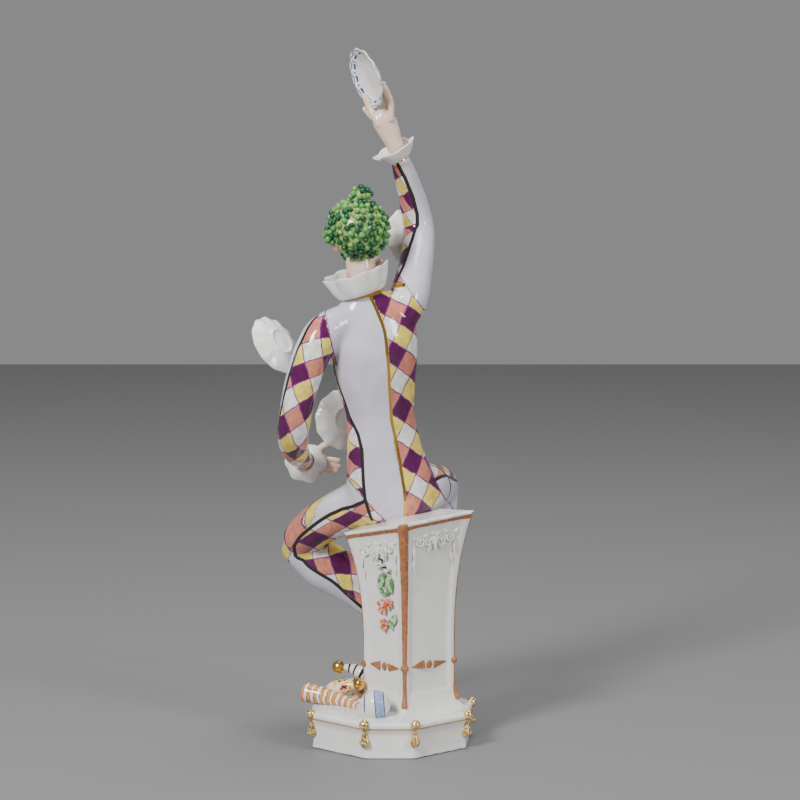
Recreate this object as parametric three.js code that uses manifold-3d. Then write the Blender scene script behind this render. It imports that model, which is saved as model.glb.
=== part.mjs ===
// A seated porcelain juggler on a flared pedestal with an eight-sided base.
// Millimetres, +Z up, origin at the centre of the underside. The figure looks along +Y,
// so a viewer at -Y sees its back, with the raised right hand on the +X side.
import * as THREE from 'three';
import { ParametricGeometry } from 'three/addons/geometries/ParametricGeometry.js';
import { mergeVertices } from 'three/addons/utils/BufferGeometryUtils.js';
import Module from 'manifold-3d';

const wasm = await Module();
wasm.setup();

// Base: bearings of its eight corners, and rings of [corner radius, height]
const BASE_BEARINGS = [-25, 15, 61, 107, 154, 203, 253, 287];
const BASE_RINGS = [[49, 0], [48.4, 3], [48.4, 14], [50.2, 17.5], [50.6, 19.5], [49.2, 21], [36, 22]];
const BASE_TOP = 22;

// Gilt balls on the corners of the rim: the tassel's profile is [radius, height below its top]
const BALL_RADIUS = 3;
const BALL_PLACE = [49.8, 20];
const TASSEL_PLACE = [48.8, 18.5];
const TASSEL = [[0, -11], [2.9, -10], [1.4, -3], [0, 1]];

// Pedestal: a square that stands on its corner, with a waist and a sloping top
const PEDESTAL_X = 11;
const PEDESTAL_TURN = -95.5;
const PEDESTAL_FOOT = 21.5;
const PEDESTAL_TOPS = [134, 137, 132.5, 122.5];
const WAIST = 38.3;
const TOP_FLARE = 16;
const TOP_FLARE_FROM = 0.3;
const TOP_FLARE_POWER = 2.6;
const FOOT_FLARE = 10;
const FOOT_FLARE_TO = 0.14;
const RIB = 0.1;
const PANEL_DEPTH = 0.8;
const PANEL_LEVELS = [0.11, 0.965];

// Ornament of the pedestal, as parts of its height and of a face's width
const BAND_LEVEL = 0.245;
const DART_PLACES = [0.29, 0.71];
const GARLAND_LEVEL = 0.88;
const GARLAND_RISE = 0.035;
const GARLAND_LEAVES = 5;
const SPRAY_FACE = 3;
const SPRAY_LIFT = 1.2;
const BOW_LOOPS = [[0.43, 0.8], [0.76, 0.79]];
const BOW_KNOT = [0.6, 0.8];
const SPRAY_LEAVES = [
  [0.56, 0.72, -0.5], [0.7, 0.7, 0.6], [0.62, 0.62, 0.1], [0.78, 0.5, 0.5], [0.46, 0.6, -0.4],
];
const BLOSSOMS = [[0.52, 0.575, 5.4], [0.54, 0.475, 4.2]];

// Figure: every row of a limb is [x, y, z, half width, half depth]
const TORSO_TURN = 12;
const TORSO = [
  [1.5, 19, 130, 19, 15], [1.3, 18, 134.5, 24.5, 19], [0.8, 17, 142.5, 26.3, 20.5],
  [-0.6, 16, 153, 25.8, 19.5], [-2.7, 14, 164, 23.3, 17], [-4.1, 12, 176, 21.5, 15],
  [-5.5, 10, 189, 20.1, 14], [-7, 8, 203, 22, 15.5], [-8.4, 6, 216.5, 24.3, 17.5],
  [-8.9, 4.5, 229.5, 25.4, 18], [-9.8, 3.5, 241, 25, 16], [-12.7, 3, 252, 20.5, 12.5],
  [-15, 3, 260, 14, 10], [-16, 3.5, 267, 9.4, 9],
];
const NECK = [[-16, 3.5, 265, 9, 9], [-16.7, 5, 277, 8.6, 8.6], [-18.4, 7, 291, 8.2, 8.2]];
const RIGHT_UPPER_ARM = [
  [5, 6.5, 246, 9.5, 9.5], [10.5, 10, 258, 11.8, 11], [14, 21, 272, 10.6, 10.6],
  [16.3, 34, 285, 9.8, 9.8], [16.9, 43, 295, 9.4, 9.4],
];
const RIGHT_FOREARM = [
  [16.9, 43.5, 297, 9.5, 9.5], [14.6, 42, 309, 8.8, 8.8], [11.7, 37, 320, 7.8, 7.8],
  [8.7, 32, 329.7, 7, 7], [5.5, 27, 339, 5.8, 5.2],
];
const LEFT_UPPER_ARM = [
  [-28, -2.5, 246.5, 10, 9.5], [-38.5, -7.5, 240, 11, 10.6], [-44.7, -10, 228.6, 10.8, 10.8],
  [-48.7, -11, 218, 10.4, 10.4], [-51.9, -12, 207, 9.9, 9.9], [-54, -11, 195, 9.6, 9.6],
  [-55.6, -7.5, 184.5, 9.3, 9.3],
];
const LEFT_FOREARM = [
  [-56, -5, 180, 9, 9], [-56, 4, 173.5, 8.8, 8.8], [-54.4, 15, 167.8, 7.8, 7.8],
  [-52, 28, 162.5, 6.5, 6.5], [-50.5, 35, 159.8, 5.6, 5],
];
const LEFT_THIGH = [
  [-2, 17, 143, 14, 14], [-10.6, 18, 140, 15.2, 15], [-23.6, 24, 133, 14.6, 14.4],
  [-35.6, 32, 126.5, 13.6, 13.4], [-46.6, 41, 118.4, 12.4, 12.2], [-55, 48.5, 110.5, 10.6, 10.6],
];
const LEFT_SHIN = [
  [-57, 51.5, 107, 10.2, 10.2], [-49, 51.5, 101, 11, 12.8], [-39, 50.5, 94.8, 11.6, 15],
  [-27, 49.5, 87, 10.6, 14], [-14, 48.3, 73.5, 7.6, 9.2], [0, 47, 60.5, 5.6, 5.8],
];
const RIGHT_THIGH = [
  [12, 18, 145, 15, 15], [19, 28, 145, 14.8, 14.8], [24.5, 43, 144, 13.6, 13.6],
  [28.5, 57, 142, 12.2, 12.2], [30.5, 66, 138.5, 10.8, 10.8],
];
const RIGHT_SHIN = [
  [30.5, 67, 137, 10.6, 10.6], [29.5, 68, 122, 10.6, 10.6], [27, 66.5, 106, 10.4, 10.4],
  [24, 62, 88, 8.6, 8.6], [21.5, 57.5, 71, 6.6, 6.6], [20.5, 54, 58, 5.6, 5.6],
];
const LEFT_FOOT = [
  [-3, 46.5, 60, 5.8, 5], [4, 47, 53, 5.4, 5.4], [14, 48, 46.5, 5, 4.2], [24, 48, 42, 2.6, 2.4],
];
const RIGHT_FOOT = [
  [20.5, 55, 60, 5.2, 5.4], [20, 53, 47, 5, 6], [19, 49, 35, 5.2, 4.6], [18, 43, 25, 3.4, 3],
];

// Hands: a palm, and fingers as [radius, three points]
const RIGHT_PALM = [
  [4.4, 25.5, 342, 4.8, 4.4], [2.2, 24, 348, 5, 4.2], [-0.6, 23, 355, 6.4, 4.4],
  [-3.4, 22, 361.5, 7, 4.2], [-3, 22.5, 366, 4.6, 3.4],
];
const RIGHT_FINGERS = [
  [2.1, [-6.5, 20, 359], [-11, 23, 367], [-14, 28.2, 373.8]],
  [1.8, [-5, 25, 360], [-10, 29, 362.5], [-14.5, 30.5, 367.5]],
  [1.9, [0.6, 18.5, 362], [0.6, 17, 371], [-2.6, 16.5, 379.5]],
  [1.9, [0.4, 22, 363], [-0.4, 21.8, 373], [-4, 22, 382]],
  [1.9, [-0.6, 25.5, 362], [-1.6, 26.5, 372], [-5, 27, 380]],
];
const LEFT_PALM = [[-50.5, 35, 159.8, 4.8, 4], [-47, 40, 158.6, 6.6, 4], [-40.8, 43.4, 156.6, 6.4, 3.6]];
const LEFT_FINGERS = [
  [2, [-44, 40.5, 161], [-41, 41, 167.4], [-35.4, 39, 170.6]],
  [1.7, [-43, 44, 159], [-36, 46, 159.5], [-31, 46, 158.6]],
  [1.7, [-43, 44, 156.5], [-36, 46, 156], [-30.6, 46, 155.2]],
  [1.7, [-43, 43.5, 154], [-37, 45, 153], [-32.4, 45, 152.4]],
];

// Frills at the neck and the wrists: sizes are the inner radius, the rim's radius and the height,
// and swing is how far the waves reach in and out.
const FRILL_EDGE = 1.4;
const FRILL_SIDES = 3;
const FRILLS = [
  { centre: [-16.4, 3, 263.8], axis: [-0.32, -0.08, 1], sizes: [13.6, 18.6, 10.5], waves: 9, swing: 1.6 },
  { centre: [5, 26.5, 339.5], axis: [-0.55, -0.2, 1], sizes: [6, 12.4, 6.5], waves: 6, swing: 1.5 },
  { centre: [-50.8, 33, 160.4], axis: [0.12, 1, -0.3], sizes: [6, 11.6, 6], waves: 6, swing: 1.5 },
];

// Head, in its own frame: it looks along +Y. HEAD_TURNS are its pitch, roll and turn.
const HEAD_CENTRE = [-18.2, 8, 297];
const HEAD_TURNS = [14, -20, 22];
const SKULL = [
  [0, 11, -20, 5, 4.6], [0, 5.5, -16, 8.8, 10.5], [0, 2, -9, 12.2, 14.5], [0, 0.3, -1, 14.6, 16.4],
  [0, -0.8, 6, 15, 17], [0, -1, 11, 13.2, 14.8], [0, -1, 15, 9, 10],
];
const NOSE = [[0, 15, 3, 1.2, 1.4], [0, 17.6, -1.5, 1.5, 1.6], [0, 18.8, -5.2, 2.4, 2.2]];
const HAIR = { centre: [-1, -3, 3.5], radii: [16.6, 17.2, 16.6], beads: 52 };
const TOPKNOT = { centre: [7, 0, 20.5], radii: [5, 5, 5], beads: 9 };
const BEAD_RADIUS = 2.4;
const BEAD_LIFT = 0.8;

// Saucers: each has a centre and the direction that its underside faces
const SAUCERS = [
  [[-11.4, 21, 386.3], [0.85, 0.42, 0.31]],
  [[12.9, 52, 291], [0.7, -0.66, 0.25]],
  [[-63.8, -4.6, 234.6], [0.69, -0.5, 0.52]],
  [[-26.3, 40, 184.2], [0.35, -0.93, 0.1]],
];
const SAUCER_RADIUS = 18.4;
const SAUCER_LOBES = 12;
const SAUCER_SCALLOP = 0.045;
const SAUCER = [[0, -2.2], [7.4, -3], [8.6, -1.9], [18.4, 2.4], [17.5, 3.1], [7.6, -0.6], [0, -0.8]];

// Juggling props on the base: a ball, a club and a fool's cap with two bells
const BALL = { centre: [-8, -32.5, 28.6], radius: 8.3 };
const CLUB = [
  [-49.5, 5, 27.4, 5.8, 5.8], [-38, 0, 26.3, 4.9, 4.9], [-27, -6.5, 24.8, 3.6, 3.6],
  [-18.5, -14, 23.2, 2.4, 2.4], [-14, -24, 23, 2.2, 2.2],
];
const CAP_CROWN = { centre: [-24, 13, 26], radii: [15, 9, 8] };
const CAP_LOW_HORN = [
  [-37, 10, 23, 3.6, 3.6], [-33, 7, 28.6, 4.9, 4.9], [-26, 3, 31.5, 4.2, 4.2], [-20.5, -0.5, 33, 2.2, 2.2],
];
const CAP_HIGH_HORN = [
  [-10, 8, 33, 6, 6], [-16, 7, 38, 4.4, 4.4], [-22, 9, 40.6, 3.1, 3.1], [-27.5, 10, 41.3, 1.9, 1.9],
];
const BELLS = [[3.8, [-30.3, 10, 41.5]], [3.6, [-18.1, -2, 33.9]]];

const MERGE = 1e-4;
const UP = new THREE.Vector3(0, 0, 1);
const DOWN = new THREE.Vector3(0, 0, -1);
const radians = THREE.MathUtils.degToRad;
const vector = (list) => new THREE.Vector3(...list);
const cube = (size) => [size, size, size];
const joined = (solids) => solids.reduce((sum, next) => sum.add(next));

// Turns a closed geometry into a solid that can be joined and cut.
function solid(geometry) {
  const bare = geometry.clone();
  bare.deleteAttribute('normal');
  bare.deleteAttribute('uv');
  const merged = mergeVertices(bare, MERGE);
  const { array } = merged.attributes.position;
  const corners = Array.from(merged.index.array);
  const triangles = [];
  let volume = 0;
  for (let i = 0; i < corners.length; i += 3) {
    const [a, b, c] = corners.slice(i, i + 3);
    if (a === b || b === c || c === a) continue;
    triangles.push(a, b, c);
    const [p, q, r] = [a, b, c].map((corner) => new THREE.Vector3().fromArray(array, 3 * corner));
    volume += p.dot(q.cross(r));
  }
  if (volume < 0) triangles.reverse();
  return new wasm.Manifold(new wasm.Mesh({
    numProp: 3,
    vertProperties: new Float32Array(array),
    triVerts: new Uint32Array(triangles),
  }));
}

// A skin over a grid of columns, which go round, and rows. The first and last row are points.
function skin(columns, rows, place) {
  return new ParametricGeometry((u, v, target) => {
    const column = Math.round(u * columns) % columns;
    target.copy(place(column, Math.round(v * rows)));
  }, columns, rows);
}

// A round-ended limb along the centres of its rows. across is the direction of the half width,
// cap the number of rings in each round end, and bulge how far the ends reach out.
function limb(rows, { across = [1, 0, 0], sides = 8, steps = rows.length, bulge = 0.7, cap = 2 } = {}) {
  const centres = new THREE.CatmullRomCurve3(rows.map(([x, y, z]) => new THREE.Vector3(x, y, z)));
  const sizes = new THREE.CatmullRomCurve3(rows.map((row) => new THREE.Vector3(row[3], row[4], 0)));
  const place = (column, row) => {
    const along = THREE.MathUtils.clamp((row - cap) / steps, 0, 1);
    const beyond = Math.max(cap - row, row - cap - steps, 0) / cap * Math.PI / 2;
    const tangent = centres.getTangent(along);
    const side = vector(across).projectOnPlane(tangent).normalize();
    const front = new THREE.Vector3().crossVectors(tangent, side);
    const size = sizes.getPoint(along);
    const reach = Math.sin(beyond) * size.y * bulge * (row < cap ? -1 : 1);
    const angle = column / sides * 2 * Math.PI;
    return centres.getPoint(along)
      .addScaledVector(tangent, reach)
      .addScaledVector(side, size.x * Math.cos(beyond) * Math.cos(angle))
      .addScaledVector(front, size.y * Math.cos(beyond) * Math.sin(angle));
  };
  return skin(sides, steps + 2 * cap, place);
}

// An ellipsoid with its centre, radii, and numbers of sides and rows.
function pebble(centre, radii, sides, rows) {
  return new THREE.SphereGeometry(1, sides, rows).scale(...radii).translate(...centre);
}

// A facetted bead with twenty faces, and a leaf or dart with eight.
const bead = (centre, radii) => new THREE.IcosahedronGeometry(1).scale(...radii).translate(...centre);
const dart = (radii) => new THREE.OctahedronGeometry(1).scale(...radii);

// A frill: a thin band that flares along its axis from one ring to a wavy rim.
function frill({ centre, axis, sizes: [inner, rim, height], waves, swing }) {
  const columns = waves * FRILL_SIDES;
  const turn = new THREE.Quaternion().setFromUnitVectors(UP, vector(axis).normalize());
  const lip = [rim - FRILL_EDGE, height + FRILL_EDGE / 2];
  const profile = [[0, -1], [inner, -1], [rim, height], lip, [0, 1]];
  const place = (column, row) => {
    const [radius, level] = profile[row];
    const angle = column / columns * 2 * Math.PI;
    const wave = radius > inner ? swing * Math.cos(angle * waves) : 0;
    const reach = radius + wave;
    return new THREE.Vector3(reach * Math.cos(angle), reach * Math.sin(angle), level + wave / 2)
      .applyQuaternion(turn)
      .add(vector(centre));
  };
  return skin(columns, profile.length - 1, place);
}

// A point at one bearing, radius and height from the centre of the base.
function aroundBase(bearing, [radius, height]) {
  const angle = radians(bearing);
  return new THREE.Vector3(radius * Math.cos(angle), radius * Math.sin(angle), height);
}

function base() {
  const ends = [new THREE.Vector3(0, 0, 0), new THREE.Vector3(0, 0, BASE_TOP)];
  const rows = BASE_RINGS.length + 1;
  return skin(BASE_BEARINGS.length, rows, (column, row) => {
    if (row === 0) return ends[0];
    if (row === rows) return ends[1];
    return aroundBase(BASE_BEARINGS[column], BASE_RINGS[row - 1]);
  });
}

function ballsAndTassels() {
  const profile = TASSEL.map(([radius, level]) => new THREE.Vector2(radius, level));
  return BASE_BEARINGS.flatMap((bearing) => [
    bead(aroundBase(bearing, BALL_PLACE), cube(BALL_RADIUS)),
    new THREE.LatheGeometry(profile, 6).rotateX(Math.PI / 2).translate(...aroundBase(bearing, TASSEL_PLACE)),
  ]).map(solid);
}

// Side length of the square section, by height from 0 at the foot to 1 at the top.
function pedestalSide(level) {
  const above = Math.max((level - TOP_FLARE_FROM) / (1 - TOP_FLARE_FROM), 0);
  const below = Math.max(1 - level / FOOT_FLARE_TO, 0);
  return WAIST + TOP_FLARE * above ** TOP_FLARE_POWER + FOOT_FLARE * below ** 3;
}

function pedestalCorner(index, level, inset) {
  const corner = index % 4;
  const angle = radians(PEDESTAL_TURN + 90 * corner);
  const reach = (pedestalSide(level) - 2 * inset) / Math.SQRT2;
  const height = PEDESTAL_FOOT + level * (PEDESTAL_TOPS[corner] - PEDESTAL_FOOT);
  return new THREE.Vector3(PEDESTAL_X + reach * Math.cos(angle), reach * Math.sin(angle), height);
}

// A point on one face: across runs from 0 at its first corner to 1 at the next.
function onPedestal(face, across, level, inset) {
  return pedestalCorner(face, level, inset).lerp(pedestalCorner(face + 1, level, inset), across);
}

// Sets a shape on a face of the pedestal, with its +X side out.
function setOnFace(geometry, face, across, level, inset) {
  const turn = radians(PEDESTAL_TURN + 90 * face + 45);
  return solid(geometry.rotateZ(turn).translate(...onPedestal(face, across, level, inset)));
}

// The pedestal, with a sunk panel between the corner ribs of every face.
function pedestal() {
  const slope = 0.02;
  const stops = [0, RIB, RIB + slope, 1 - RIB - slope, 1 - RIB];
  const levels = [0, 0.05, 0.1, 0.12, 0.36, 0.54, 0.68, 0.79, 0.88, 0.955, 0.975, 1];
  const centreTop = PEDESTAL_TOPS.reduce((sum, top) => sum + top) / PEDESTAL_TOPS.length;
  const ends = [PEDESTAL_FOOT, centreTop].map((height) => new THREE.Vector3(PEDESTAL_X, 0, height));
  const rows = levels.length + 1;
  return skin(4 * stops.length, rows, (column, row) => {
    if (row === 0) return ends[0];
    if (row === rows) return ends[1];
    const stop = column % stops.length;
    const level = levels[row - 1];
    const sunk = (stop === 2 || stop === 3) && level > PANEL_LEVELS[0] && level < PANEL_LEVELS[1];
    return onPedestal(Math.floor(column / stops.length), stops[stop], level, sunk ? PANEL_DEPTH : 0);
  });
}

// Raised ornament on the four faces: a row of ovals and darts, and a garland below the top.
function pedestalOrnament() {
  return [0, 1, 2, 3].flatMap((face) => {
    const leaves = Array.from({ length: GARLAND_LEAVES }, (_, leaf) => {
      const along = leaf / (GARLAND_LEAVES - 1);
      const level = GARLAND_LEVEL + GARLAND_RISE * Math.sin(Math.PI * along);
      return setOnFace(dart([1.6, 4.4, 2.8]), face, 0.2 + 0.6 * along, level, PANEL_DEPTH);
    });
    return [
      setOnFace(bead([0, 0, 0], [1.6, 2.1, 2.1]), face, 0, BAND_LEVEL, PANEL_DEPTH / 2),
      setOnFace(bead([0, 0, 0], [1.4, 2.2, 1.5]), face, 0.5, BAND_LEVEL, PANEL_DEPTH),
      ...DART_PLACES.map((across) => setOnFace(dart([1.3, 6.2, 2.9]), face, across, BAND_LEVEL, PANEL_DEPTH)),
      ...leaves,
    ];
  });
}

// A flattened ball with five lobes.
function blossom(radius) {
  const flower = new THREE.SphereGeometry(1, 10, 3);
  const { position } = flower.attributes;
  for (let i = 0; i < position.count; i += 1) {
    const point = new THREE.Vector3().fromBufferAttribute(position, i);
    const lobe = radius * (1 + 0.18 * Math.cos(5 * Math.atan2(point.z, point.x)));
    position.setXYZ(i, point.x * lobe, point.y * 2.4, point.z * lobe);
  }
  return flower.rotateZ(-Math.PI / 2);
}

// A ribbon bow, leaves and two blossoms.
function spray() {
  const place = (geometry, [across, level]) => setOnFace(
    geometry.translate(SPRAY_LIFT, 0, 0), SPRAY_FACE, across, level, PANEL_DEPTH);
  return [
    ...BOW_LOOPS.map((spot) => place(new THREE.TorusGeometry(2.7, 1.2, 4, 7).rotateY(Math.PI / 2), spot)),
    place(bead([0, 0, 0], [2.2, 2.6, 2.2]), BOW_KNOT),
    ...SPRAY_LEAVES.map((spot) => place(dart([2, 2.6, 5.2]).rotateX(spot[2]), spot)),
    ...BLOSSOMS.map((spot) => place(blossom(spot[2]), spot)),
  ];
}

function props() {
  const lying = { across: [0, 0, 1], cap: 1 };
  return [
    pebble(BALL.centre, cube(BALL.radius), 10, 7),
    pebble(CAP_CROWN.centre, CAP_CROWN.radii, 8, 5),
    limb(CLUB, { ...lying, sides: 9, steps: 4, bulge: 0.3 }),
    limb(CAP_LOW_HORN, { ...lying, sides: 7, steps: 3 }),
    limb(CAP_HIGH_HORN, { ...lying, sides: 7, steps: 3 }),
    ...BELLS.map(([radius, centre]) => bead(centre, cube(radius))),
  ].map(solid);
}

// A scalloped saucer on a low foot.
function saucer([centre, underside]) {
  const profile = SAUCER.map(([radius, level]) => new THREE.Vector2(radius, level));
  const geometry = new THREE.LatheGeometry(profile, 2 * SAUCER_LOBES).rotateX(Math.PI / 2);
  const { position } = geometry.attributes;
  for (let i = 0; i < position.count; i += 1) {
    const point = new THREE.Vector3().fromBufferAttribute(position, i);
    const outer = THREE.MathUtils.smoothstep(Math.hypot(point.x, point.y), SAUCER_RADIUS / 2, SAUCER_RADIUS);
    const dip = 0.5 - 0.5 * Math.cos(Math.atan2(point.y, point.x) * SAUCER_LOBES);
    const scale = 1 - SAUCER_SCALLOP * outer * dip;
    position.setXYZ(i, point.x * scale, point.y * scale, point.z);
  }
  const turn = new THREE.Quaternion().setFromUnitVectors(DOWN, vector(underside).normalize());
  return geometry.applyQuaternion(turn).translate(...centre);
}

// Moves a shape from the head's own frame to its place.
function onHead(geometry) {
  const [pitch, roll, turn] = HEAD_TURNS.map(radians);
  const pose = new THREE.Euler(pitch, roll, turn, 'ZYX');
  return solid(geometry.applyQuaternion(new THREE.Quaternion().setFromEuler(pose)).translate(...HEAD_CENTRE));
}

// The skull with its eye hollows, and the features that stand out from it.
function head() {
  const pair = (centre, radii, sides, rows) => [-1, 1].map(
    (side) => onHead(pebble([side * centre[0], centre[1], centre[2]], radii, sides, rows)));
  const skull = onHead(limb(SKULL, { sides: 12, steps: 7, bulge: 0.35 }));
  const sockets = pair([5.6, 17.6, 0.2], [4.2, 3, 2.6], 7, 5);
  const eyes = pair([5.4, 14.6, 0], [2.7, 2.4, 1.9], 7, 4);
  const ears = pair([15.9, -1.5, -1], [2.3, 3.2, 5], 6, 5);
  const lips = [[[0, 15.4, -9.8], [4.2, 2, 0.95]], [[0, 15, -11.6], [3.4, 2, 1.05]]];
  return [
    sockets.reduce((rest, socket) => rest.subtract(socket), skull),
    onHead(limb(NOSE, { sides: 6, steps: 2, cap: 1 })),
    ...eyes,
    ...ears,
    ...lips.map(([centre, radii]) => onHead(pebble(centre, radii, 7, 4))),
  ];
}

// A cap with beads spread evenly over it. keep says whether a direction has a bead.
function beadedCap({ centre, radii, beads }, keep) {
  const golden = Math.PI * (3 - Math.sqrt(5));
  const directions = Array.from({ length: beads }, (_, index) => {
    const height = 1 - 2 * (index + 0.5) / beads;
    const ring = Math.sqrt(1 - height * height);
    return new THREE.Vector3(ring * Math.cos(golden * index), ring * Math.sin(golden * index), height);
  });
  const reach = vector(radii).addScalar(BEAD_LIFT);
  const spots = directions.filter(keep).map((direction) => direction.multiply(reach).add(vector(centre)));
  return [pebble(centre, radii, 10, 6), ...spots.map((spot) => bead(spot, cube(BEAD_RADIUS)))].map(onHead);
}

function hair() {
  const onFace = ({ y, z }) => y > 0.28 && z < 0.42 + 0.2 * y;
  const onEar = ({ x, y, z }) => Math.abs(x) > 0.72 && z > -0.75 && z < 0.12 && y > -0.4;
  return [
    ...beadedCap(HAIR, (spot) => spot.z > -0.86 && !onFace(spot) && !onEar(spot)),
    ...beadedCap(TOPKNOT, (spot) => spot.z > -0.1),
  ];
}

function hand(palm, fingers, across) {
  const tube = { sides: 5, steps: 2, bulge: 1, cap: 1 };
  return [
    limb(palm, { across, steps: palm.length - 1, cap: 1 }),
    ...fingers.map(([radius, ...points]) => limb(points.map((point) => [...point, radius, radius]), tube)),
  ].map(solid);
}

function figure() {
  const turned = [Math.cos(radians(TORSO_TURN)), Math.sin(radians(TORSO_TURN)), 0];
  const upright = [0, 0, 1];
  const deep = [0, 1, 0];
  return [
    solid(limb(TORSO, { across: turned, sides: 14, steps: 12, bulge: 0.2, cap: 1 })),
    solid(limb(NECK, { steps: 2, cap: 1 })),
    ...head(),
    ...hair(),
    solid(limb(RIGHT_UPPER_ARM)),
    solid(limb(RIGHT_FOREARM, { cap: 1 })),
    solid(limb(LEFT_UPPER_ARM)),
    solid(limb(LEFT_FOREARM, { across: upright, cap: 1 })),
    solid(limb(LEFT_THIGH, { across: upright })),
    solid(limb(LEFT_SHIN, { across: deep, cap: 1 })),
    solid(limb(RIGHT_THIGH)),
    solid(limb(RIGHT_SHIN, { cap: 1 })),
    solid(limb(LEFT_FOOT, { across: deep, steps: 3 })),
    solid(limb(RIGHT_FOOT, { steps: 3 })),
    ...hand(RIGHT_PALM, RIGHT_FINGERS, [1, 0, 0.3]),
    ...hand(LEFT_PALM, LEFT_FINGERS, upright),
    ...FRILLS.map((sizes) => solid(frill(sizes))),
    ...SAUCERS.map((place) => solid(saucer(place))),
  ];
}

// The clay parts are joined wet and fired as one piece.
const whole = joined([
  solid(base()), ...ballsAndTassels(), solid(pedestal()), ...pedestalOrnament(), ...spray(), ...props(),
  ...figure(),
]);

const shape = whole.getMesh();
const geometry = new THREE.BufferGeometry();
geometry.setAttribute('position', new THREE.BufferAttribute(shape.vertProperties, 3));
geometry.setIndex(new THREE.BufferAttribute(shape.triVerts, 1));
geometry.computeVertexNormals();

const glaze = new THREE.MeshStandardMaterial({ color: 0xe9e6e1, roughness: 0.12, metalness: 0 });
const figurine = new THREE.Mesh(geometry, glaze);
figurine.name = 'juggler_figurine';

const group = new THREE.Group();
group.add(figurine);

export default group;
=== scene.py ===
# %% [markdown]
# This file dresses one porcelain figurine: a juggler in a harlequin suit, who sits on a flared
# pedestal. The imported solid gives the size and the place of everything, and it is loaded first.

# %% Load the frame
import math

import bmesh
import bpy
import numpy as np
from mathutils import Matrix, Quaternion, Vector
from mathutils.bvhtree import BVHTree
from mathutils.kdtree import KDTree


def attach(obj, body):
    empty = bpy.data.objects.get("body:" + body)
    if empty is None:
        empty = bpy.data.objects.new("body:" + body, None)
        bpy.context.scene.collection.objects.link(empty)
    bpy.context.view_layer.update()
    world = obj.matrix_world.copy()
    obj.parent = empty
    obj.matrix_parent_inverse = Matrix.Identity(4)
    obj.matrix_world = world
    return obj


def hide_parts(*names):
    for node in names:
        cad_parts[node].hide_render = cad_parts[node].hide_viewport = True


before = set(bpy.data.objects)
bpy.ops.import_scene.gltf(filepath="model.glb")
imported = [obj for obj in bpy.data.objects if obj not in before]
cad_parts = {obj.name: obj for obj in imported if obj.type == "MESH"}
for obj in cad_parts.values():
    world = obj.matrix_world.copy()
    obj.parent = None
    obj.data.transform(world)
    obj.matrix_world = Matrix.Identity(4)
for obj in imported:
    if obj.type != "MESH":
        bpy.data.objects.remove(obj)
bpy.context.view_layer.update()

NODE = "juggler_figurine"

# %% [markdown]
# A potter models in millimetres, and Blender counts in metres. All sizes here are written in
# millimetres, as on the drawing, and every bmesh is scaled once, when it becomes a piece.

# %% Make a piece from a bmesh
MM = 0.001
pieces = {}


def add_piece(name, mesh, *materials):
    """Makes an object of a mesh in metres, with its materials, and ties it to the body."""
    piece = bpy.data.objects.new(name, mesh)
    bpy.context.scene.collection.objects.link(piece)
    for material in materials:
        mesh.materials.append(material)
    mesh.polygons.foreach_set("use_smooth", [True] * len(mesh.polygons))
    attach(piece, "root")
    pieces[name] = piece
    return piece


def finish_bmesh(bm, name):
    """Turns a bmesh in millimetres into a mesh in metres."""
    bmesh.ops.scale(bm, vec=(MM,) * 3, verts=bm.verts)
    mesh = bpy.data.meshes.new(name)
    bm.to_mesh(mesh)
    bm.free()
    return mesh


def settled(mesh, **voxels):
    """Runs a stack of modifiers on a mesh, and returns the mesh that comes out."""
    carrier = bpy.data.objects.new("carrier", mesh)
    bpy.context.scene.collection.objects.link(carrier)
    for kind, values in voxels.items():
        modifier = carrier.modifiers.new(kind, kind.rstrip("_123"))
        for key, value in values.items():
            setattr(modifier, key, value)
    depsgraph = bpy.context.evaluated_depsgraph_get()
    result = bpy.data.meshes.new_from_object(carrier.evaluated_get(depsgraph))
    bpy.data.objects.remove(carrier)
    return result


# %% [markdown]
# Arms, legs, fingers and horns are all limbs: an oval section that is carried along a curve and
# changes its size on the way. A limb is given by a few rows of centre, half width and half depth.
# A smooth curve through the rows gives as many sections as the limb needs, and bridge_loops
# joins them.

# %% Limbs from rows
def smooth_rows(rows, count):
    """count rows on a smooth curve through the given ones."""
    rows = np.array(rows, float)
    padded = np.vstack([2 * rows[0] - rows[1], rows, 2 * rows[-1] - rows[-2]])
    places = np.linspace(0, len(rows) - 1, count)
    first = np.minimum(places.astype(int), len(rows) - 2)
    part = (places - first)[:, None]
    a, b, c, d = (padded[first + step] for step in range(4))
    cubic = (2 * a - 5 * b + 4 * c - d) * part**2 + (3 * b - a - 3 * c + d) * part**3
    return 0.5 * (2 * b + (c - a) * part + cubic)


def frames_along(centres, across):
    """The tangent, side and front directions at every centre of a limb."""
    tangents = np.gradient(centres, axis=0)
    tangents /= np.linalg.norm(tangents, axis=1)[:, None]
    sides = np.array(across, float) - tangents * (tangents @ np.array(across, float))[:, None]
    sides /= np.linalg.norm(sides, axis=1)[:, None]
    return tangents, sides, np.cross(tangents, sides)


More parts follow.
